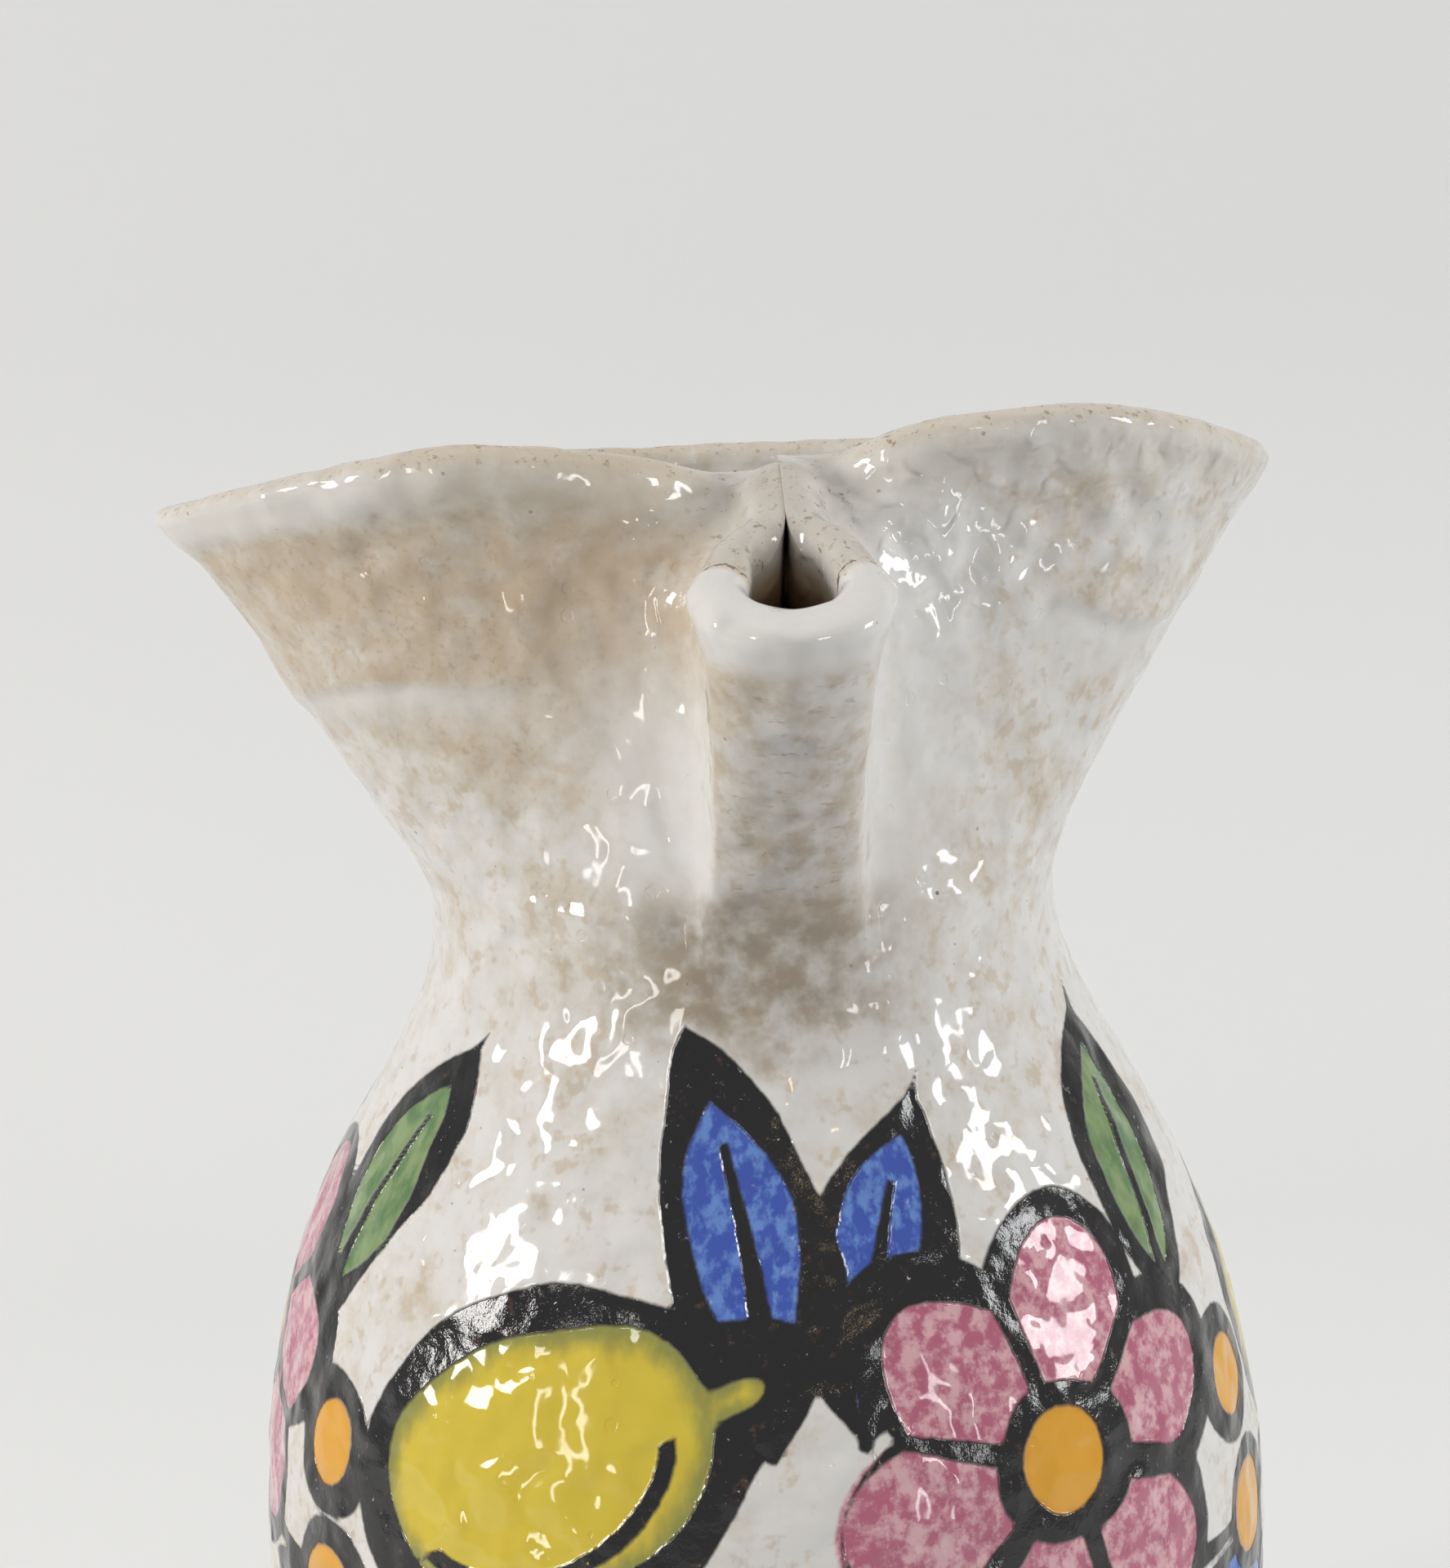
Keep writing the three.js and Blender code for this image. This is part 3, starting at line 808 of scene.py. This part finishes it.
left_column = COLUMNS - strap_column
foot = make_piece(
    "jug_foot", "base_slab",
    [
        block("underside", "foot", ALL),
        bridge_rows("foot", "inner_foot", ALL),
        block("inner_foot", "floor", ALL),
    ],
    (("underside", False), ("floor", True)),
)
belly = make_piece("jug_belly", "belly_wall", shell("foot", "belly"))
shoulder = make_piece("jug_shoulder", "shoulder_wall", shell("belly", "waist"))
neck_outer = np.r_[marks["grip_foot"]: marks["seam"] + 1]
neck_inner = np.r_[marks["inner_grip_foot"]: marks["inner_seam"] - 1: -1]
neck = make_piece(
    "jug_neck", "neck",
    [
        block("waist", "grip_foot", ALL),
        block("grip_foot", "seam", REST_SPAN),
        bridge_rows("seam", "inner_seam", REST_SPAN),
        bridge_rows("grip_foot", "inner_grip_foot", GRIP_SPAN),
        block("inner_seam", "inner_grip_foot", REST_SPAN),
        block("inner_grip_foot", "inner_waist", ALL),
        bridge_rows("inner_waist", "waist", ALL),
        bridge_columns(neck_outer, neck_inner, strap_column, -1),
        bridge_columns(neck_outer, neck_inner, left_column, 1),
    ],
)
collar = make_piece(
    "jug_collar", "collar",
    [
        block("seam", "inner_seam", REST_SPAN),
        bridge_rows("inner_seam", "seam", REST_SPAN),
        *strap_sides(strap_column, -1, "seam"),
        *strap_sides(left_column, 1, "seam"),
    ],
)
grip = make_piece(
    "jug_grip", "grip_strap",
    [
        block("grip_foot", "inner_grip_foot", GRIP_SPAN),
        bridge_rows("inner_grip_foot", "grip_foot", GRIP_SPAN),
        *strap_sides(strap_column, 1, "grip_foot"),
        *strap_sides(left_column, -1, "grip_foot"),
    ],
)


# Materials.
class Value:
    """An output of a node, with the sums, products and ramps that the materials need."""

    def __init__(self, shader, socket):
        self.shader = shader
        self.socket = socket

    def math(self, operation, *values):
        return self.shader.value("Math", self, *values, operation=operation)

    def __add__(self, other):
        return self.math("ADD", other)

    def __sub__(self, other):
        return self.math("SUBTRACT", other)

    def __rsub__(self, other):
        return self * -1.0 + other

    def __mul__(self, other):
        return self.math("MULTIPLY", other)

    def __abs__(self):
        return self.math("ABSOLUTE")

    def larger(self, other):
        return self.math("MAXIMUM", other)

    def ramp(self, low, high, bottom=0.0, top=1.0):
        node = self.shader.node("MapRange", self, low, high, bottom, top)
        node.interpolation_type = "SMOOTHSTEP"
        return Value(self.shader, node.outputs[0])

    def fall(self, low, high):
        return self.ramp(low, high, 1.0, 0.0)

    def window(self, low, rise, fall, high):
        """1 between rise and fall, 0 below low and above high."""
        return self.ramp(low, rise) * self.fall(fall, high)

    def blend(self, a, b):
        """Colour a where this share is 0, colour b where it is 1."""
        node = self.shader.node("Mix", self)
        node.data_type = "RGBA"
        self.shader.put(node.inputs[6], a)
        self.shader.put(node.inputs[7], b)
        return Value(self.shader, node.outputs[2])

    def coat(self, tint, share):
        """This colour with a share of a tint laid over it."""
        return share.blend(self, tint)


class Shader:
    """The nodes of one material or world, with places and sizes in millimetres."""

    def __init__(self, owner):
        owner.use_nodes = True
        self.owner = owner
        self.tree = owner.node_tree
        self.tree.nodes.clear()

    def put(self, socket, value):
        if isinstance(value, Value):
            self.tree.links.new(value.socket, socket)
        elif isinstance(value, tuple) and socket.type == "RGBA":
            socket.default_value = (*value, 1.0)
        else:
            socket.default_value = value

    def node(self, kind, *values, operation=None):
        """A new node, with its first sockets set or linked."""
        node = self.tree.nodes.new("ShaderNode" + kind)
        if operation:
            node.operation = operation
        for socket, value in zip(node.inputs, values):
            self.put(socket, value)
        return node

    def value(self, kind, *values, operation=None, output=0):
        return Value(self, self.node(kind, *values, operation=operation).outputs[output])

    def part(self, vector, axis):
        return self.value("SeparateXYZ", vector, output=axis)

    def make_surface(self):
        self.surface = self.node("BsdfPrincipled")
        self.node("OutputMaterial", Value(self, self.surface.outputs[0]))
        place = self.value("TexCoord", output="Object")
        self.place = self.value("VectorMath", place, (1.0 / MM,) * 3, operation="MULTIPLY")
        self.x, self.y, self.z = (self.part(self.place, axis) for axis in range(3))

    def fill(self, node, values):
        for name, value in values.items():
            self.put(node.inputs[name], value)

    def finish(self, values):
        """Sets sockets of the surface by name, and gives the material."""
        self.fill(self.surface, values)
        return self.owner

    def noise(self, size, detail=3.0, rough=0.55, stretch=None, warp=0.0):
        place = self.place
        if stretch:
            place = self.value("VectorMath", place, stretch, operation="MULTIPLY")
        node = self.node("TexNoise", place)
        self.fill(node, {"Scale": 1.0 / size, "Detail": detail, "Roughness": rough, "Distortion": warp})
        return Value(self, node.outputs[0])

    def specks(self, spacing, size, keep):
        """Sparse ragged dots: one in each cell whose own number is below keep."""
        cells = self.node("TexVoronoi", self.place)
        cells.inputs["Scale"].default_value = 1.0 / spacing
        tint = Value(self, cells.outputs["Color"])
        chosen = self.part(tint, 0).math("LESS_THAN", keep)
        radius = self.part(tint, 1) * size + size * 0.35
        ragged = self.noise(spacing * 0.16, 2.0) * (size * 1.3) - size * 0.65
        gap = Value(self, cells.outputs["Distance"]) + ragged
        return gap.fall(radius, radius * 1.35) * chosen

    def field(self, name):
        node = self.node("Attribute")
        node.attribute_name = name
        return Value(self, node.outputs["Fac"])

    def bump(self, height, distance, under=None):
        node = self.node("Bump")
        self.fill(node, {"Height": height, "Distance": distance, "Strength": 1.0})
        if under:
            self.fill(node, {"Normal": under})
        return Value(self, node.outputs[0])

    def seen_share(self):
        """1 for rays of the camera, of mirrors and of clear glass, 0 for light on the jug."""
        kinds = ("Is Camera Ray", "Is Glossy Ray", "Is Transmission Ray")
        camera, mirror, glass = (self.value("LightPath", output=kind) for kind in kinds)
        return camera.larger(mirror).larger(glass)


def surface_shader(name):
    shader = Shader(bpy.data.materials.new(name))
    shader.make_surface()
    return shader


# Glaze, from where it pooled to where it wore off, and the clay under it; also painted shade for the bore,
# the slit, the front of the grip and under its foot.
MILK = (0.79, 0.775, 0.755)
CREAM = (0.70, 0.65, 0.575)
TAN = (0.57, 0.445, 0.30)
UMBER = (0.30, 0.195, 0.105)
SPECK = (0.10, 0.065, 0.04)
RIM = (0.73, 0.695, 0.63)
FUNNEL = (0.52, 0.40, 0.27)
BORE_SHADE = (0.25, 0.16, 0.10)
BORE_DEEP_SHADE = (0.08, 0.046, 0.032)
SLIT_SHADE = (0.008, 0.006, 0.005)
ASH = (0.56, 0.53, 0.49)
GRIP_FRONT_SHADE = (0.44, 0.375, 0.295)
UNDER_GRIP_TAN_AND_SHADE = (0.36, 0.295, 0.225)
CLAY = (0.52, 0.335, 0.205)
CLAY_DARK = (0.42, 0.255, 0.15)
CLAY_PALE = (0.66, 0.50, 0.36)

# Depths of the relief that only the light shows, and how the surfaces bend light.
FLOW_DEPTH = 1.0 * MM
FOOT_FLOW_DEPTH = 0.8 * MM
PAINT_DEPTH = 0.22 * MM
CLAY_DEPTH = 0.2 * MM
GLAZE_IOR = 1.52
CLAY_IOR = 1.5


def corner_glaze_and_shade(shader, colour, blotch, cloud):
    """Glaze that ran, white where it pooled beside the grip and partly painted light in those corners;
    painted shade, mottled like thin glaze, down the front of the grip; and under its foot thin tan glaze with
    painted shade.
    """
    turn = shader.field("rim_run")
    uneven = blotch * 16.0 - 8.0
    spread = abs(turn) + uneven
    # Whiter glaze pooled in the corners beside the grip, made brighter still as painted light in those
    # corners.
    pooled_and_lit = spread.window(14.0, 22.0, 56.0, 84.0) * shader.z.ramp(196.0, 214.0)
    covered = turn.ramp(-10.0, 10.0).larger(shader.field("below_rim").ramp(12.0, 34.0))
    colour = colour.coat(MILK, pooled_and_lit * (covered * 0.62 + 0.15))
    mottled = (blotch * 0.5 + cloud).ramp(0.55, 0.95, 0.35, 1.0)
    bare = spread.window(34.0, 46.0, 72.0, 104.0) * (1.0 - covered)
    colour = colour.coat(TAN, bare * mottled * 0.55)
    # Painted shade down the front of the grip, mottled like thin glaze, with real brown flecks laid over it.
    core = spread.fall(5.0, 18.0) * shader.z.ramp(203.0, 210.0)
    colour = colour.coat(GRIP_FRONT_SHADE, core * mottled * 0.56)
    fleck = shader.noise(1.0, 3.0, 0.6, (0.32, 0.32, 1.0))
    colour = colour.coat(UMBER, core * fleck.ramp(0.60, 0.72, 0.0, 0.45))
    # Under the grip's foot: tan mottling of thin glaze, darkened further as painted shade where the grip
    # overhangs.
    aside = abs(shader.x + uneven * 0.6 + 3.0)
    level = shader.z + uneven * 0.5
    under = aside.fall(6.0, 25.0) * shader.y.fall(-30.0, -10.0) * level.window(185.0, 196.0, 206.0, 214.0)
    return colour.coat(UNDER_GRIP_TAN_AND_SHADE, under * mottled * 0.95)


def lip_glaze_and_shade(shader, colour):
    """The rim's own glaze: pale bands, partly painted light on the left wing, a worn edge, the pressed fold
    and the lip's broken line, with painted shade down the bore and a painted shadow along the slit.
    """
    below = shader.field("below_rim")
    turn = shader.field("rim_run")
    run = abs(turn)
    fold = shader.field("fold")
    depth = below + (shader.noise(3.2, 4.0, 0.65) * 4.0 - 2.0)
    colour = colour.coat(RIM, depth.ramp(5.0, 8.5, 0.55, 0.0))
    # The left wing's rolled band is whiter: partly its milky glaze, partly painted light on its upturned
    # face.
    on_left_wing = turn.window(-180.0, -160.0, -104.0, -86.0)
    colour = colour.coat(MILK, on_left_wing * depth.ramp(6.0, 9.0, 0.7, 0.0))
    edge = depth.fall(0.6, 2.6)
    colour = colour.coat(TAN, edge * 0.40)
    colour = colour.coat(UMBER, edge * shader.noise(1.2, 3.0, 0.7).ramp(0.57, 0.67) * 0.75)
    colour = colour.coat(ASH, fold * 0.55)
    colour = colour.coat(UMBER, fold * shader.noise(1.6, 3.0, 0.7).ramp(0.60, 0.68) * 0.8)
    colour = colour.coat(MILK, run.fall(21.8, 23.2) * below.fall(6.0, 11.0) * 0.90)
    line = abs(run + (shader.noise(3.0, 3.0, 0.6) * 4.0 - 25.4)).fall(0.10, 0.42)
    broken = shader.noise(1.7, 2.0).ramp(0.38, 0.55)
    colour = colour.coat(SPECK, line * broken * below.fall(5.0, 8.0) * 0.85)
    # Tan glaze at the mouth of the bore, then painted shade darkening deeper down it, and a painted shadow
    # along the slit.
    deep = shader.field("bore")
    colour = colour.coat(FUNNEL, deep.ramp(0.0, 0.30, 0.0, 0.85))
    colour = colour.coat(BORE_SHADE, deep.ramp(0.25, 0.65))
    colour = colour.coat(BORE_DEEP_SHADE, deep.ramp(0.60, 1.0))
    return colour.coat(SLIT_SHADE, shader.field("slit"))


def glaze_colour(shader, lip):
    """Milky glaze, thin and tan in soft blotches, with specks of the clay under it, and painted light and
    shade about the grip.
    """
    zone = shader.noise(44.0, 2.0, 0.5)
    blotch = shader.noise(11.0, 3.0, 0.55, (1.0, 1.0, 1.25), 0.25)
    cloud = shader.noise(3.6, 3.0, 0.55)
    grain = shader.noise(1.1, 2.0, 0.6)
    high = shader.z.ramp(172.0, 226.0)
    left = shader.x.ramp(-18.0, 10.0, 1.0, -0.40) * shader.z.ramp(214.0, 240.0)
    thin = blotch * 0.55 + cloud * 0.42 + grain * 0.16 + zone * 0.35 + high * 0.07 + left * 0.19
    colour = thin.ramp(0.66, 0.92).blend(MILK, CREAM)
    colour = colour.coat(TAN, thin.ramp(0.80, 1.12, 0.0, 0.80))
    spotty = shader.noise(2.7, 2.5, 0.6) + blotch * 0.30 + high * 0.02
    colour = colour.coat(TAN, spotty.ramp(0.70, 0.84, 0.0, 0.50))
    colour = colour.coat(UMBER, grain.ramp(0.56, 0.72) * thin.ramp(0.80, 1.05) * 0.25)
    colour = corner_glaze_and_shade(shader, colour, blotch, cloud)
    colour = colour.coat(MILK, shader.field("under_seam") * blotch.ramp(0.30, 0.60, 0.35, 0.75))
    if lip:
        colour = lip_glaze_and_shade(shader, colour)
    colour = colour.coat(SPECK, shader.specks(5.2, 0.055, 0.20) * 0.75)
    return colour.coat(UMBER, shader.specks(2.1, 0.085, 0.07) * 0.55)


def flow_bump(shader):
    """Uneven flow of the thick glaze: soft lumps of a few millimetres, wrinkled beside the fold."""
    lump = shader.noise(5.8, 0.5, 0.4, (1.0, 1.0, 1.05), 0.3)
    small = shader.noise(3.2, 0.5, 0.4, None, 0.4)
    turn = shader.field("rim_run")
    below = shader.field("below_rim")
    right = turn.window(16.0, 30.0, 66.0, 92.0)
    left = turn.window(-60.0, -45.0, -24.0, -16.0)
    wrinkled = (right * 0.27 + left * 0.17) * below.ramp(16.0, 34.0, 1.0, 0.15)
    edge = turn.window(56.0, 76.0, 125.0, 150.0) * below.ramp(7.0, 13.0, 0.34, 0.0)
    blister = small.ramp(0.42, 0.80) * ((wrinkled + edge) * below.ramp(1.5, 4.5))
    return lump + small * 0.07 + blister + shader.specks(4.4, 0.13, 0.42) * -0.05


def glaze(name, lip=False, painted=False):
    shader = surface_shader(name)
    colour = glaze_colour(shader, lip)
    normal = shader.bump(flow_bump(shader), FLOW_DEPTH)
    rough = shader.noise(6.0, 3.0).ramp(0.3, 0.75, 0.05, 0.11)
    if painted:
        colour, raised = paint_over(shader, colour)
        normal = shader.bump(raised, PAINT_DEPTH, normal)
    return shader.finish({"Base Color": colour, "Roughness": rough, "Normal": normal, "IOR": GLAZE_IOR})


# Paints with their second tones, how well each covers, and the soft width of their edges in millimetres.
YELLOW = (0.71, 0.545, 0.03)
YELLOW_EDGE = (0.23, 0.25, 0.055)
BLUE = (0.022, 0.075, 0.45)
BLUE_PALE = (0.12, 0.26, 0.66)
PINK = (0.47, 0.10, 0.19)
PINK_PALE = (0.74, 0.42, 0.46)
ORANGE = (0.80, 0.38, 0.012)
ORANGE_EDGE = (0.50, 0.15, 0.008)
GREEN = (0.075, 0.19, 0.05)
GREEN_PALE = (0.22, 0.33, 0.12)
INK = (0.007, 0.0063, 0.007)
INK_THIN = (0.10, 0.048, 0.03)
COVERS = {"green": 0.94, "blue": 0.97, "pink": 0.95, "yellow": 0.97, "orange": 0.97}
COAT_EDGE = 0.35
INK_EDGE = 0.28


def paint_over(shader, colour):
    """The colour under mottled coats and a brushed black line, and how high that line stands."""
    fringe = shader.noise(1.6, 2.0, 0.5) * 0.5 - 0.25
    mottle = shader.noise(2.0, 4.0, 0.65)
    drip = shader.noise(3.4, 3.0, 0.6, (1.0, 1.0, 0.42))
    fine = shader.noise(0.8, 2.0, 0.6)
    dabs = shader.noise(1.5, 3.0, 0.6, (1.0, 1.0, 0.55))
    away = {name: shader.field(name) + fringe for name in fields}
    blue = (dabs + drip * 0.5).ramp(0.66, 0.92).blend(BLUE, BLUE_PALE)
    pink = (mottle + drip * 0.6).ramp(0.68, 0.95).blend(PINK, PINK_PALE)
    yellow = (away["yellow"] + drip * 5.0).ramp(-3.6, 0.2, 0.0, 0.9).blend(YELLOW, YELLOW_EDGE)
    orange = (away["orange"] + mottle * 1.6).ramp(-2.0, 0.6, 0.0, 0.8).blend(ORANGE, ORANGE_EDGE)
    tones = {
        "green": drip.ramp(0.35, 0.65).blend(GREEN, GREEN_PALE),
        "blue": blue.coat(MILK, mottle.ramp(0.62, 0.74) * 0.30),
        "pink": pink.coat(MILK, drip.ramp(0.62, 0.78, 0.0, 0.5)),
        "yellow": yellow.coat(ORANGE, drip.ramp(0.55, 0.80, 0.0, 0.25)),
        "orange": orange,
    }
    for name, share in COVERS.items():
        colour = colour.coat(tones[name], away[name].fall(-COAT_EDGE, COAT_EDGE) * share)
    worn = (mottle + drip * 0.5).ramp(0.86, 1.02, 0.0, 0.75)
    holes = fine.ramp(0.66, 0.72) * mottle.ramp(0.50, 0.62) * 0.8
    cover = away["ink"].fall(-INK_EDGE, INK_EDGE) * (1.0 - holes)
    raised = cover * mottle.ramp(0.2, 0.8, 0.75, 1.0)
    return colour.coat(worn.blend(INK, INK_THIN), cover), raised


def bare_clay():
    """The slab: glaze ends in a ragged line above an unglazed, turned foot."""
    shader = surface_shader("jug_bare_clay")
    ragged = shader.noise(7.0, 3.0) * 4.0 - 2.0
    glazed = (shader.z + ragged).ramp(2.6, 3.1)
    grain = shader.noise(0.7, 4.0, 0.7)
    clay = shader.noise(14.0, 3.0).ramp(0.3, 0.7).blend(CLAY, CLAY_DARK)
    clay = clay.coat(CLAY_PALE, grain.ramp(0.58, 0.75, 0.0, 0.6))
    clay = clay.coat(SPECK, shader.specks(1.6, 0.12, 0.14) * 0.8)
    colour = clay.coat(glaze_colour(shader, False), glazed)
    rough = glazed.ramp(0.0, 1.0, 0.85, 0.10)
    normal = shader.bump(grain + glazed * 1.6, CLAY_DEPTH)
    normal = shader.bump(flow_bump(shader), FOOT_FLOW_DEPTH, normal)
    return shader.finish({"Base Color": colour, "Roughness": rough, "Normal": normal, "IOR": CLAY_IOR})


body_glaze = glaze("jug_body_glaze", painted=True)
neck_glaze = glaze("jug_neck_glaze")
collar_glaze = glaze("jug_collar_glaze", lip=True)
for piece, material in (
    (foot, bare_clay()),
    (belly, body_glaze),
    (shoulder, body_glaze),
    (neck, neck_glaze),
    (collar, collar_glaze),
    (grip, collar_glaze),
):
    piece.data.materials.append(material)

# Stage: a pale floor that turns up into a pale wall behind the jug. Its lengths are in metres.
FLOOR_FRONT = -1.5
WALL_BACK = 0.62
WALL_TOP = 1.4
STAGE_HALF = 1.6
COVE = 0.28
COVE_STEPS = 12
STAGE_LIFT = 0.36
PAPER = (0.50, 0.50, 0.495)
PAPER_LIGHT = (1.0, 1.0, 0.99)


def make_stage():
    sweep = [(FLOOR_FRONT, 0.0)]
    for i in range(COVE_STEPS + 1):
        turn = math.pi / 2.0 * i / COVE_STEPS
        sweep.append((WALL_BACK - COVE + COVE * math.sin(turn), COVE - COVE * math.cos(turn)))
    sweep.append((WALL_BACK, WALL_TOP))
    points = [(x, y, z) for y, z in sweep for x in (-STAGE_HALF, STAGE_HALF)]
    faces = [(2 * i, 2 * i + 1, 2 * i + 3, 2 * i + 2) for i in range(len(sweep) - 1)]
    mesh = bpy.data.meshes.new("stage")
    mesh.from_pydata(points, [], faces)
    mesh.polygons.foreach_set("use_smooth", np.ones(len(faces), bool))
    stage = bpy.data.objects.new("stage", mesh)
    bpy.context.scene.collection.objects.link(stage)
    shader = surface_shader("stage_paper")
    mesh.materials.append(shader.finish({
        "Base Color": PAPER,
        "Roughness": 0.9,
        "Specular IOR Level": 0.1,
        "Emission Color": PAPER_LIGHT,
        "Emission Strength": shader.seen_share() * STAGE_LIFT,
    }))


make_stage()

# Lamps, aimed at the neck. Metres, degrees and watts.
AIM = (0.0, 0.0, 0.18)
COOL = (0.97, 0.99, 1.0)
WARM = (1.0, 0.975, 0.94)
WHITE = (1.0, 1.0, 1.0)
BULB = (1.0, 0.72, 0.42)


def from_jug(azimuth, elevation, distance):
    a, e = math.radians(azimuth), math.radians(elevation)
    return (
        AIM[0] + distance * math.sin(a) * math.cos(e),
        AIM[1] - distance * math.cos(a) * math.cos(e),
        AIM[2] + distance * math.sin(e),
    )


def area_lamp(name, place, width, height, watts, tint):
    data = bpy.data.lights.new(name, "AREA")
    data.shape = "RECTANGLE"
    data.size = width
    data.size_y = height
    data.energy = watts
    data.color = tint
    lamp = bpy.data.objects.new(name, data)
    lamp.location = place
    away = Vector(place) - Vector(AIM)
    lamp.rotation_euler = away.to_track_quat("Z", "Y").to_euler()
    bpy.context.scene.collection.objects.link(lamp)


area_lamp("lamp_right", from_jug(70.0, 16.0, 1.0), 0.22, 0.36, 2.9, COOL)
area_lamp("lamp_right_small", from_jug(34.0, 4.0, 1.0), 0.07, 0.30, 0.7, COOL)
area_lamp("lamp_left", from_jug(-77.0, 17.0, 1.0), 0.19, 0.36, 4.3, WARM)
area_lamp("lamp_left_small", from_jug(-51.0, 7.0, 1.0), 0.06, 0.34, 0.7, WARM)
area_lamp("lamp_top", (0.1, 0.1, 1.35), 1.0, 1.0, 1.2, WHITE)
area_lamp("lamp_warm", from_jug(7.0, 36.0, 1.2), 0.06, 0.06, 0.16, BULB)

# The room is bright at both sides and overhead, and dim where the photographer stood. Seen rays find it even.
ROOM_COLOUR = (1.0, 0.99, 0.975)
ROOM_LIGHT = 0.84
FRONT_LIGHT = 0.02
ROOM_SEEN = 0.55
FRONT_WAY = (-0.11, -0.96, -0.05)
FRONT_CONE = (0.25, 0.78)


def make_world():
    world = bpy.data.worlds.new("room")
    bpy.context.scene.world = world
    shader = Shader(world)
    way = shader.value("TexCoord", output="Generated")
    ahead = shader.value("VectorMath", way, FRONT_WAY, operation="DOT_PRODUCT", output="Value")
    level = shader.node("Mix", shader.seen_share())
    shader.fill(level, {"A": ahead.ramp(*FRONT_CONE, ROOM_LIGHT, FRONT_LIGHT), "B": ROOM_SEEN})
    background = shader.value("Background", ROOM_COLOUR, Value(shader, level.outputs["Result"]))
    shader.node("OutputWorld", background)


make_world()

# Camera, placed as the photograph was taken.
IMAGE_HEIGHT = 1920.0
FOCAL_PIXELS = 2950.0
ASIDE_PIXELS = 19.3
SENSOR_WIDTH = 36.0
NEAR_CLIP = 0.01
CAMERA_AZIMUTH = math.radians(-6.5)
CAMERA_DISTANCE = 340.0
CAMERA_HEIGHT = 286.8
CAMERA_PITCH = math.radians(11.8)
CAMERA_ROLL = math.radians(1.92)
CAMERA_YAW = math.atan(ASIDE_PIXELS / FOCAL_PIXELS)


def make_camera():
    upright = Vector((0.0, 0.0, 1.0))
    forward = Vector((-math.sin(CAMERA_AZIMUTH), math.cos(CAMERA_AZIMUTH), 0.0))
    sideways = Vector((math.cos(CAMERA_AZIMUTH), math.sin(CAMERA_AZIMUTH), 0.0))
    place = -forward * CAMERA_DISTANCE
    place.z = CAMERA_HEIGHT
    forward = forward * math.cos(CAMERA_YAW) - sideways * math.sin(CAMERA_YAW)
    right = forward.cross(upright)
    look = forward * math.cos(CAMERA_PITCH) - upright * math.sin(CAMERA_PITCH)
    up = right.cross(look)
    x_axis = right * math.cos(CAMERA_ROLL) - up * math.sin(CAMERA_ROLL)
    y_axis = up * math.cos(CAMERA_ROLL) + right * math.sin(CAMERA_ROLL)
    data = bpy.data.cameras.new("camera")
    data.sensor_fit = "AUTO"
    data.sensor_width = SENSOR_WIDTH
    data.lens = SENSOR_WIDTH * FOCAL_PIXELS / IMAGE_HEIGHT
    data.clip_start = NEAR_CLIP
    camera = bpy.data.objects.new("camera", data)
    turn = Matrix((x_axis, y_axis, -look)).transposed()
    camera.matrix_world = Matrix.Translation(place * MM) @ turn.to_4x4()
    bpy.context.scene.collection.objects.link(camera)
    bpy.context.scene.camera = camera


make_camera()
bpy.context.scene.view_settings.view_transform = "Standard"
